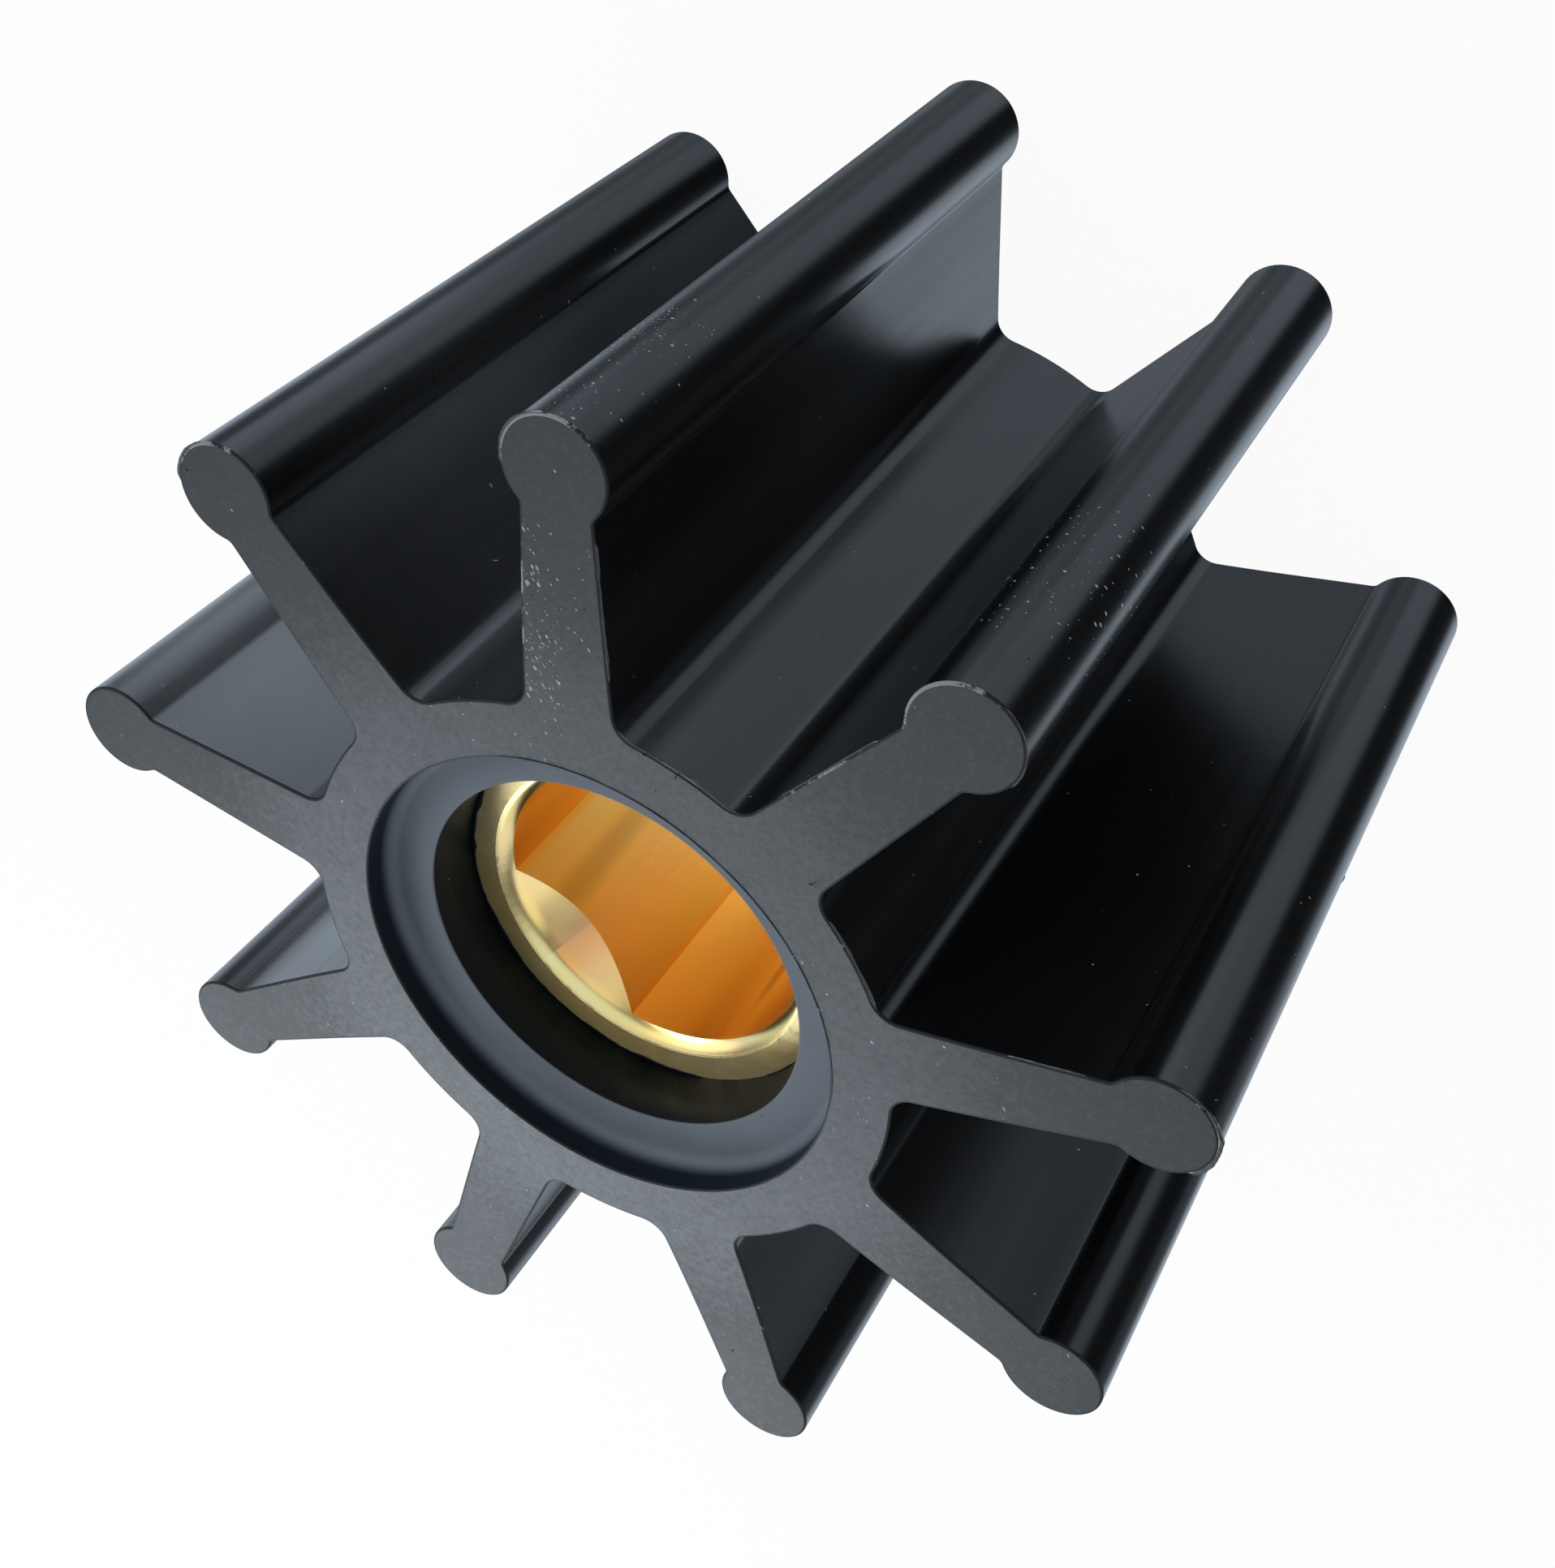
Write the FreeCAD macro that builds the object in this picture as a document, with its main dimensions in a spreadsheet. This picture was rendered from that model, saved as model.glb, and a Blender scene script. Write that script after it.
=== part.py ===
"""Flexible impeller of a raw-water cooling pump, as a parametric document.

The row frame has +Z along the shaft axis, towards the front end of the impeller, and its origin on that
axis at half the width. One vane points along +X. Lengths are in millimetres and angles in degrees.
"""
import FreeCAD, Part
import math
import os
import Sketcher

# Driving dimensions: alias, value, meaning
DIMENSIONS = (
    ("outer_diameter", 95.2, "over the vane heads"),
    ("overall_width", 63.5, "from end face to end face"),
    ("vane_count", 9, "vanes around the hub"),
    ("head_diameter", 7.9, "round head along each vane tip"),
    ("web_root_thickness", 7.7, "vane web at the insert's surface"),
    ("web_tip_thickness", 5.1, "vane web at the centre of the head"),
    ("root_fillet", 2.0, "between web and hub"),
    ("neck_fillet", 0.8, "between web and head"),
    ("hub_wall", 6.0, "rubber outside the insert, between the vanes"),
    ("shaft_diameter", 25.4, "bore for the pump shaft"),
    ("flat_depth", 2.5, "how far each drive flat stands into the bore circle"),
    ("flat_turn", 12.6, "turn of the flats past a vane"),
    ("lead_in", 1.0, "45 degree cone at each mouth of the bore"),
    ("face_land", 2.2, "brass ring seen around the lead-in cone"),
    ("end_lap", 3.1, "rubber lapped over each end of the insert"),
    ("insert_recess", 8.0, "from each end face down to the brass"),
    ("seat_width", 3.95, "floor ring of the counterbore"),
    ("seat_depth", 2.85, "depth of the counterbore"),
    ("seat_bevel", 0.5, "45 degree bevel between the counterbore's wall and floor"),
    ("key_groove_count", 3, "grooves around the insert"),
    ("key_groove_width", 4.0, "width of one groove"),
    ("key_groove_depth", 1.2, "depth of one groove"),
    ("key_groove_pitch", 12.0, "from groove to groove"),
)

# Radii and levels that follow from them: alias, formula
DERIVED = (
    ("bore_radius", "shaft_diameter / 2"),
    ("end_bore_radius", "bore_radius + lead_in + face_land"),
    ("insert_radius", "end_bore_radius + end_lap"),
    ("hub_radius", "insert_radius + hub_wall"),
    ("seat_radius", "end_bore_radius + seat_width"),
    ("end_level", "overall_width / 2"),
    ("seat_level", "end_level - seat_depth"),
    ("brass_level", "end_level - insert_recess"),
    ("head_radius", "head_diameter / 2"),
    ("head_centre", "outer_diameter / 2 - head_radius"),
    ("flat_distance", "bore_radius - flat_depth"),
    ("flat_half_chord", "sqrt(bore_radius ^ 2 - flat_distance ^ 2)"),
    ("lead_in_radius", "bore_radius + lead_in"),
    ("lead_in_tip", "lead_in_radius - flat_distance"),
    ("key_bottom_radius", "insert_radius - key_groove_depth"),
    ("key_span", "key_groove_pitch * (key_groove_count - 1)"),
    ("key_low", "-(key_span + key_groove_width) / 2"),
    ("key_high", "key_low + key_groove_width"),
)

ORIGIN_POINT = (-1, 1)
START, END, CENTRE = 1, 2, 3
CLOSE = 0.01


def fill_sheet(doc):
    """Write the driving dimensions and the values derived from them into the sheet."""
    sheet = doc.addObject("Spreadsheet::Sheet", "Sizes")
    row = 0
    for alias, value, meaning in DIMENSIONS:
        row += 1
        sheet.set(f"A{row}", meaning)
        sheet.set(f"B{row}", str(value))
        sheet.setAlias(f"B{row}", alias)
    for alias, formula in DERIVED:
        row += 1
        sheet.set(f"A{row}", "derived")
        sheet.set(f"B{row}", f"={formula}")
        sheet.setAlias(f"B{row}", alias)
    doc.recompute()
    return sheet


def bind(formula):
    """Turn a formula in aliases into one that a property outside the sheet can read."""
    names = sorted([entry[0] for entry in DIMENSIONS + DERIVED], key=len, reverse=True)
    for index, name in enumerate(names):
        formula = formula.replace(name, f"@{index}@")
    for index, name in enumerate(names):
        formula = formula.replace(f"@{index}@", f"Sizes.{name}")
    return formula


def new_body(doc, label):
    """Add an empty body that will be one sub-part."""
    body = doc.addObject("PartDesign::Body", label)
    body.Label = label
    return body


def origin_feature(body, role):
    """Find one of the body's own origin planes or axes."""
    return next(item for item in body.Origin.OriginFeatures if item.Role == role)


def new_sketch(body, name, role):
    """Add a sketch on one of the body's origin planes."""
    sketch = body.newObject("Sketcher::SketchObject", name)
    sketch.AttachmentSupport = [(origin_feature(body, role), "")]
    sketch.MapMode = "FlatFace"
    return sketch


def pin_point(sketch, geometry, end, across, up):
    """Hold one point of a sketch at two formulas, measured from the sketch's origin."""
    for kind, formula in (("DistanceX", across), ("DistanceY", up)):
        value = sketch.evalExpression(bind(formula))
        constraint = Sketcher.Constraint(kind, *ORIGIN_POINT, geometry, end, float(value))
        index = sketch.addConstraint(constraint)
        sketch.setExpression(f"Constraints[{index}]", bind(formula))


def located(sketch, corner):
    """Work out where a pair of formulas lies now."""
    across, up = (float(sketch.evalExpression(bind(formula))) for formula in corner)
    return FreeCAD.Vector(across, up, 0)


def draw_polygon(sketch, corners):
    """Draw a closed outline whose corners are pairs of formulas."""
    count = len(corners)
    for index in range(count):
        start = located(sketch, corners[index])
        end = located(sketch, corners[(index + 1) % count])
        sketch.addGeometry(Part.LineSegment(start, end), False)
    for index in range(count):
        sketch.addConstraint(Sketcher.Constraint("Coincident", index, END, (index + 1) % count, START))
    for index, (across, up) in enumerate(corners):
        pin_point(sketch, index, START, across, up)


def revolve(body, sketch, name, kind):
    """Turn a sketch on the XZ plane about the shaft axis, adding or removing material."""
    feature = body.newObject(f"PartDesign::{kind}", name)
    feature.Profile = sketch
    feature.ReferenceAxis = (sketch, ["V_Axis"])
    feature.Angle = 360
    return feature


def pad_full_width(body, sketch, name):
    """Pad a sketch on the XY plane to both end faces."""
    pad = body.newObject("PartDesign::Pad", name)
    pad.Profile = sketch
    pad.SideType = "Symmetric"
    pad.setExpression("Length", bind("overall_width"))
    return pad


def repeat_around(body, originals, name, count):
    """Repeat features evenly around the shaft axis."""
    pattern = body.newObject("PartDesign::PolarPattern", name)
    pattern.Originals = originals
    pattern.Axis = (origin_feature(body, "Z_Axis"), [""])
    pattern.Angle = 360
    pattern.setExpression("Occurrences", bind(count))
    body.Tip = pattern
    return pattern


def repeat_upwards(body, originals, name):
    """Repeat features along the shaft axis at the pitch of the key grooves."""
    pattern = body.newObject("PartDesign::LinearPattern", name)
    pattern.Originals = originals
    pattern.Direction = (origin_feature(body, "Z_Axis"), [""])
    pattern.setExpression("Length", bind("key_span"))
    pattern.setExpression("Occurrences", bind("key_groove_count"))
    body.Tip = pattern
    return pattern


def edges_where(feature, test):
    """Name the edges of a feature's shape that pass a test."""
    return [f"Edge{index}" for index, edge in enumerate(feature.Shape.Edges, 1) if test(edge)]


def fillet_edges(body, base, names, name, radius):
    """Round the named edges of the last feature."""
    fillet = body.newObject("PartDesign::Fillet", name)
    fillet.Base = (base, names)
    fillet.setExpression("Radius", bind(radius))
    body.Tip = fillet
    return fillet


def middle_of(edge):
    """Find the point half way along an edge."""
    return edge.valueAt((edge.FirstParameter + edge.LastParameter) / 2)


def runs_end_to_end(edge, width):
    """Tell whether an edge runs between the end faces."""
    low, high = edge.BoundBox.ZMin, edge.BoundBox.ZMax
    return math.isclose(high - low, width, abs_tol=CLOSE)


def build_hub(body):
    """Turn the solid hub."""
    sketch = new_sketch(body, "HubSketch", "XZ_Plane")
    draw_polygon(sketch, (
        ("0", "-end_level"),
        ("hub_radius", "-end_level"),
        ("hub_radius", "end_level"),
        ("0", "end_level"),
    ))
    return revolve(body, sketch, "Hub", "Revolution")


def build_vanes(doc, body, sheet):
    """Pad one tapered web and its round head, repeat them and round the necks and roots."""
    web_sketch = new_sketch(body, "WebSketch", "XY_Plane")
    draw_polygon(web_sketch, (
        ("insert_radius", "-web_root_thickness / 2"),
        ("head_centre", "-web_tip_thickness / 2"),
        ("head_centre", "web_tip_thickness / 2"),
        ("insert_radius", "web_root_thickness / 2"),
    ))
    web = pad_full_width(body, web_sketch, "Web")

    head_sketch = new_sketch(body, "HeadSketch", "XY_Plane")
    centre = located(head_sketch, ("head_centre", "0"))
    radius = float(sheet.head_radius)
    circle = head_sketch.addGeometry(Part.Circle(centre, FreeCAD.Vector(0, 0, 1), radius), False)
    pin_point(head_sketch, circle, CENTRE, "head_centre", "0")
    ring = head_sketch.addConstraint(Sketcher.Constraint("Radius", circle, radius))
    head_sketch.setExpression(f"Constraints[{ring}]", bind("head_radius"))
    head = pad_full_width(body, head_sketch, "Head")

    vanes = repeat_around(body, [web, head], "Vanes", "vane_count")
    doc.recompute()

    width = float(sheet.overall_width)
    root_limit = (float(sheet.hub_radius) + float(sheet.head_centre)) / 2
    head_centre = float(sheet.head_centre)

    def is_neck(edge):
        middle = middle_of(edge)
        return runs_end_to_end(edge, width) and root_limit < math.hypot(middle.x, middle.y) < head_centre

    def is_root(edge):
        middle = middle_of(edge)
        return runs_end_to_end(edge, width) and math.hypot(middle.x, middle.y) < root_limit

    necks = fillet_edges(body, vanes, edges_where(vanes, is_neck), "NeckFillets", "neck_fillet")
    doc.recompute()
    roots = fillet_edges(body, necks, edges_where(necks, is_root), "RootFillets", "root_fillet")
    doc.recompute()
    return roots


def cut_stepped_bore(doc, body):
    """Bore the hub for the insert, and open each end with a smaller bore and a bevelled counterbore."""
    sketch = new_sketch(body, "BoreSketch", "XZ_Plane")
    draw_polygon(sketch, (
        ("0", "-end_level"),
        ("seat_radius", "-end_level"),
        ("seat_radius", "-(seat_level + seat_bevel)"),
        ("seat_radius - seat_bevel", "-seat_level"),
        ("end_bore_radius", "-seat_level"),
        ("end_bore_radius", "-brass_level"),
        ("insert_radius", "-brass_level"),
        ("insert_radius", "brass_level"),
        ("end_bore_radius", "brass_level"),
        ("end_bore_radius", "seat_level"),
        ("seat_radius - seat_bevel", "seat_level"),
        ("seat_radius", "seat_level + seat_bevel"),
        ("seat_radius", "end_level"),
        ("0", "end_level"),
    ))
    revolve(body, sketch, "SteppedBore", "Groove")
    doc.recompute()


def key_rings(body, prefix, kind):
    """Add or cut the rings that lock the rubber to the insert."""
    sketch = new_sketch(body, f"{prefix}Sketch", "XZ_Plane")
    draw_polygon(sketch, (
        ("key_bottom_radius", "key_low"),
        ("insert_radius", "key_low"),
        ("insert_radius", "key_high"),
        ("key_bottom_radius", "key_high"),
    ))
    ring = revolve(body, sketch, prefix, kind)
    repeat_upwards(body, [ring], f"{prefix}s")


def build_rubber(doc, sheet):
    """Model the moulding: hub, vanes, stepped bore and the ribs inside it."""
    body = new_body(doc, "rubber_impeller")
    build_hub(body)
    build_vanes(doc, body, sheet)
    cut_stepped_bore(doc, body)
    key_rings(body, "KeyRib", "Revolution")
    return body


def draw_double_flat(sketch):
    """Draw the bore's section: two arcs of the bore circle joined by two flats."""
    corners = (
        ("flat_distance", "-flat_half_chord"),
        ("flat_distance", "flat_half_chord"),
        ("-flat_distance", "flat_half_chord"),
        ("-flat_distance", "-flat_half_chord"),
    )
    points = [located(sketch, corner) for corner in corners]
    radius = points[0].Length
    top = FreeCAD.Vector(0, radius, 0)
    right = sketch.addGeometry(Part.LineSegment(points[0], points[1]), False)
    upper = sketch.addGeometry(Part.Arc(points[1], top, points[2]), False)
    left = sketch.addGeometry(Part.LineSegment(points[2], points[3]), False)
    lower = sketch.addGeometry(Part.Arc(points[3], -top, points[0]), False)
    sketch.addConstraint(Sketcher.Constraint("Coincident", right, END, upper, START))
    sketch.addConstraint(Sketcher.Constraint("Coincident", upper, END, left, START))
    sketch.addConstraint(Sketcher.Constraint("Coincident", left, END, lower, START))
    sketch.addConstraint(Sketcher.Constraint("Coincident", lower, END, right, START))
    sketch.addConstraint(Sketcher.Constraint("Coincident", upper, CENTRE, *ORIGIN_POINT))
    sketch.addConstraint(Sketcher.Constraint("Coincident", lower, CENTRE, *ORIGIN_POINT))
    pin_point(sketch, right, START, *corners[0])
    pin_point(sketch, left, START, *corners[2])


def build_insert(doc, sheet):
    """Model the bush: turned outside with key grooves, double-flat bore and lead-in cones."""
    body = new_body(doc, "brass_insert")
    blank_sketch = new_sketch(body, "BlankSketch", "XZ_Plane")
    draw_polygon(blank_sketch, (
        ("0", "-brass_level"),
        ("insert_radius", "-brass_level"),
        ("insert_radius", "brass_level"),
        ("0", "brass_level"),
    ))
    revolve(body, blank_sketch, "Blank", "Revolution")
    key_rings(body, "KeyGroove", "Groove")

    bore_sketch = new_sketch(body, "DriveSketch", "XY_Plane")
    draw_double_flat(bore_sketch)
    drive = body.newObject("PartDesign::Pocket", "DriveBore")
    drive.Profile = bore_sketch
    drive.SideType = "Symmetric"
    drive.setExpression("Length", bind("2 * brass_level"))

    for prefix, sign in (("Front", ""), ("Rear", "-")):
        cone_sketch = new_sketch(body, f"{prefix}ConeSketch", "XZ_Plane")
        draw_polygon(cone_sketch, (
            ("flat_distance", f"{sign}brass_level"),
            ("lead_in_radius", f"{sign}brass_level"),
            ("flat_distance", f"{sign}(brass_level - lead_in_tip)"),
        ))
        revolve(body, cone_sketch, f"{prefix}Cone", "Groove")
    body.Placement = FreeCAD.Placement(
        FreeCAD.Vector(), FreeCAD.Rotation(FreeCAD.Vector(0, 0, 1), float(sheet.flat_turn))
    )
    doc.recompute()
    return body


def check_document(doc, bodies):
    """Stop if any object failed or any sub-part isn't one valid solid."""
    for item in doc.Objects:
        if "Invalid" in item.State or "Error" in item.State:
            raise RuntimeError(f"{item.Label} failed: {item.State}")
    for body in bodies:
        shape = body.Shape
        if shape.isNull() or not shape.isValid() or len(shape.Solids) != 1:
            raise RuntimeError(f"{body.Label} isn't one valid solid")


def export(bodies):
    """Write each sub-part to its own STEP file."""
    os.makedirs("parts", exist_ok=True)
    for body in bodies:
        body.Shape.exportStep(os.path.join("parts", f"{body.Label}.step"))
        print(body.Label, "volume", round(body.Shape.Volume, 1), "faces", len(body.Shape.Faces))


doc = FreeCAD.newDocument("Impeller")
sheet = fill_sheet(doc)
bodies = [build_rubber(doc, sheet), build_insert(doc, sheet)]
doc.recompute()
check_document(doc, bodies)
export(bodies)
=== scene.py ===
"""Looks of the rubber pump impeller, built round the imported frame.

Lengths are in millimetres in the part's own frame, with +Z along the shaft axis towards the front end and
one vane along +X, and they become metres when a mesh is made.
"""
from __future__ import annotations

import logging
import math
from dataclasses import dataclass, field
from enum import Enum, IntEnum
from typing import Any, Callable, Iterable, Sequence, Union

import bpy
import numpy as np
from mathutils import Matrix, Vector

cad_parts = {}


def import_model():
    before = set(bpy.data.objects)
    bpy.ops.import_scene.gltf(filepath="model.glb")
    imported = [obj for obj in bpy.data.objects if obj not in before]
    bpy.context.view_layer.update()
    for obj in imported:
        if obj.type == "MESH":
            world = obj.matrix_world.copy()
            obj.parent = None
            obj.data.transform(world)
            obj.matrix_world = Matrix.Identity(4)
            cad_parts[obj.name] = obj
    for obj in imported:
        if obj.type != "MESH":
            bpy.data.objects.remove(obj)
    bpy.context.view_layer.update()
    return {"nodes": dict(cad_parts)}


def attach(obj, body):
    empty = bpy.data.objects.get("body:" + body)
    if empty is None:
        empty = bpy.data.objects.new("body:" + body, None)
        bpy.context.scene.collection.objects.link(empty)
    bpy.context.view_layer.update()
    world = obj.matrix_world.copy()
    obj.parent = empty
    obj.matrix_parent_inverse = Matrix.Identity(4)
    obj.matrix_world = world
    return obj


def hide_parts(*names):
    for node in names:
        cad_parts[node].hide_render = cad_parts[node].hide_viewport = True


log = logging.getLogger("impeller")

MM = 0.001
WELD_MM = 0.002
CORE_SHARE = 0.15
BODY = "root"
Colour = tuple[float, float, float]
Point = tuple[float, float, float]
Socket = bpy.types.NodeSocket
Value = Union[float, "Wire"]


class Finish(IntEnum):
    """The finishes of the moulding, in the order of its materials."""

    SKIN = 0
    FACE = 1
    EDGE = 2
    BORE = 3


class Segment(Enum):
    """The stretches of a vane's half outline, from the hub to the tip."""

    HUB = 0
    ROOT = 1
    WEB = 2
    NECK = 3
    HEAD = 4


def math_method(operation: str, swapped: bool = False) -> Callable[["Wire", Value], "Wire"]:
    """Make the method by which a wire takes part in one operation.

    Args:
        operation: the Math node's operation.
        swapped: whether the other value comes first.

    Returns:
        The method, which adds one Math node.
    """
    def join(self: "Wire", other: Value) -> "Wire":
        """Join this wire and another value."""
        first, second = (other, self) if swapped else (self, other)
        made = self.nodes.add("ShaderNodeMath", {"operation": operation}, {0: first, 1: second})
        return Wire(self.nodes, made.outputs[0])

    return join


class Wire:
    """A number in a shader that takes part in Python expressions. A comparison gives 1 or 0."""

    def __init__(self, nodes: "Nodes", socket: Socket) -> None:
        """Wrap an output socket."""
        self.nodes = nodes
        self.socket = socket

    __add__ = __radd__ = math_method("ADD")
    __sub__ = math_method("SUBTRACT")
    __rsub__ = math_method("SUBTRACT", swapped=True)
    __mul__ = __rmul__ = math_method("MULTIPLY")
    __truediv__ = math_method("DIVIDE")
    __pow__ = math_method("POWER")
    __gt__ = math_method("GREATER_THAN")
    __lt__ = math_method("LESS_THAN")
    most = math_method("MAXIMUM")
    least = math_method("MINIMUM")

    def ramp(self, low: float, high: float) -> "Wire":
        """Rise smoothly from 0 at low to 1 at high, or fall if low is the larger.

        Args:
            low: the value that gives 0.
            high: the value that gives 1.

        Returns:
            The smooth step.
        """
        ends = (0.0, 1.0) if low < high else (1.0, 0.0)
        settings = {"interpolation_type": "SMOOTHSTEP"}
        inputs = {0: self, 1: min(low, high), 2: max(low, high), 3: ends[0], 4: ends[1]}
        made = self.nodes.add("ShaderNodeMapRange", settings, inputs)
        return Wire(self.nodes, made.outputs[0])


class Nodes:
    """The node tree of one material."""

    def __init__(self, tree: bpy.types.NodeTree) -> None:
        """Start on an empty tree."""
        self.tree = tree
        tree.nodes.clear()

    def add(self, kind: str, settings: dict[str, Any] | None = None,
            inputs: dict[Any, Any] | None = None) -> bpy.types.Node:
        """Add a node.

        Args:
            kind: the node's type.
            settings: its own settings, set before its sockets.
            inputs: values or links of its sockets, by name or number.

        Returns:
            The node.
        """
        node = self.tree.nodes.new(kind)
        for name, value in (settings or {}).items():
            setattr(node, name, value)
        for name, value in (inputs or {}).items():
            self.feed(node.inputs[name], value)
        return node

    def feed(self, socket: Socket, value: Any) -> None:
        """Link a socket to a wire or an output, or set its value."""
        if isinstance(value, Wire):
            value = value.socket
        if isinstance(value, Socket):
            self.tree.links.new(value, socket)
        elif isinstance(value, tuple) and len(value) == 3 and socket.type == "RGBA":
            socket.default_value = (*value, 1.0)
        else:
            socket.default_value = value

    def wire(self, node: bpy.types.Node, output: Any = 0) -> Wire:
        """Wrap one output of a node."""
        return Wire(self, node.outputs[output])

    def place(self) -> Socket:
        """Give the place on the object, in metres in the part's frame."""
        return self.add("ShaderNodeTexCoord").outputs["Object"]

    def parts(self, vector: Socket) -> tuple[Wire, Wire, Wire]:
        """Split a vector into its three numbers."""
        split = self.add("ShaderNodeSeparateXYZ", inputs={0: vector})
        return self.wire(split, 0), self.wire(split, 1), self.wire(split, 2)

    def noise(self, size: float, place: Socket, detail: float = 3.0, rough: float = 0.5,
              axial: float = 1.0) -> Wire:
        """Make cloudy noise from 0 to 1.

        Args:
            size: about how wide one cloud is, in millimetres.
            place: the place on the object.
            detail: how many finer layers it has.
            rough: how strong those are.
            axial: the scale along the axis, where less than 1 draws the clouds out.

        Returns:
            The noise.
        """
        if axial != 1.0:
            place = self.stretch(place, (1.0, 1.0, axial))
        inputs = {"Vector": place, "Scale": 1 / (size * MM), "Detail": detail, "Roughness": rough}
        return self.wire(self.add("ShaderNodeTexNoise", inputs=inputs))

    def stretch(self, vector: Socket, scale: Point, turn: Point = (0.0, 0.0, 0.0)) -> Socket:
        """Stretch and turn the place that a pattern reads."""
        inputs = {"Vector": vector, "Scale": scale, "Rotation": turn}
        return self.add("ShaderNodeMapping", inputs=inputs).outputs[0]

    def mix(self, share: Value, first: Any, second: Any) -> Socket:
        """Mix two colours.

        Args:
            share: how much of the second.
            first: a colour or a link.
            second: a colour or a link.

        Returns:
            The mixed colour.
        """
        node = self.add("ShaderNodeMix", {"data_type": "RGBA"})
        self.feed(node.inputs[0], share)
        self.feed(node.inputs[6], first)
        self.feed(node.inputs[7], second)
        return node.outputs[2]

    def bump(self, height: Wire, depth: float, normal: Any = None) -> Socket:
        """Turn a height from 0 to 1 into a relief.

        Args:
            height: the height.
            depth: how deep the relief is, in millimetres.
            normal: a relief that it lies on.

        Returns:
            The normal.
        """
        node = self.add("ShaderNodeBump", inputs={"Height": height, "Distance": depth * MM})
        if normal is not None:
            self.feed(node.inputs["Normal"], normal)
        return node.outputs[0]

    def surface(self, **inputs: Any) -> bpy.types.Node:
        """Close the material with one Principled shader."""
        named = {name.replace("_", " "): value for name, value in inputs.items()}
        shader = self.add("ShaderNodeBsdfPrincipled", inputs=named)
        self.add("ShaderNodeOutputMaterial", inputs={"Surface": shader.outputs[0]})
        return shader


def new_material(name: str) -> tuple[bpy.types.Material, Nodes]:
    """Make a material and the builder of its nodes."""
    material = bpy.data.materials.new(name)
    material.use_nodes = True
    return material, Nodes(material.node_tree)


@dataclass(frozen=True)
class Spot:
    """A round place on the part where something is stronger: its centre, radius and strength."""

    centre: Point
    radius: float
    share: float

    def near(self, nodes: Nodes, place: Any) -> Wire:
        """Give the share in the core, fading to 0 at the radius."""
        away = nodes.add("ShaderNodeVectorMath", {"operation": "DISTANCE"},
                         {0: place, 1: tuple(c * MM for c in self.centre)})
        near = nodes.wire(away, "Value").ramp(self.radius * MM, CORE_SHARE * self.radius * MM)
        return near * self.share


def near_any(nodes: Nodes, place: Any, spots: Sequence[Spot]) -> Value:
    """Add up the shares of some spots."""
    return sum((spot.near(nodes, place) for spot in spots), 0.0)


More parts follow.
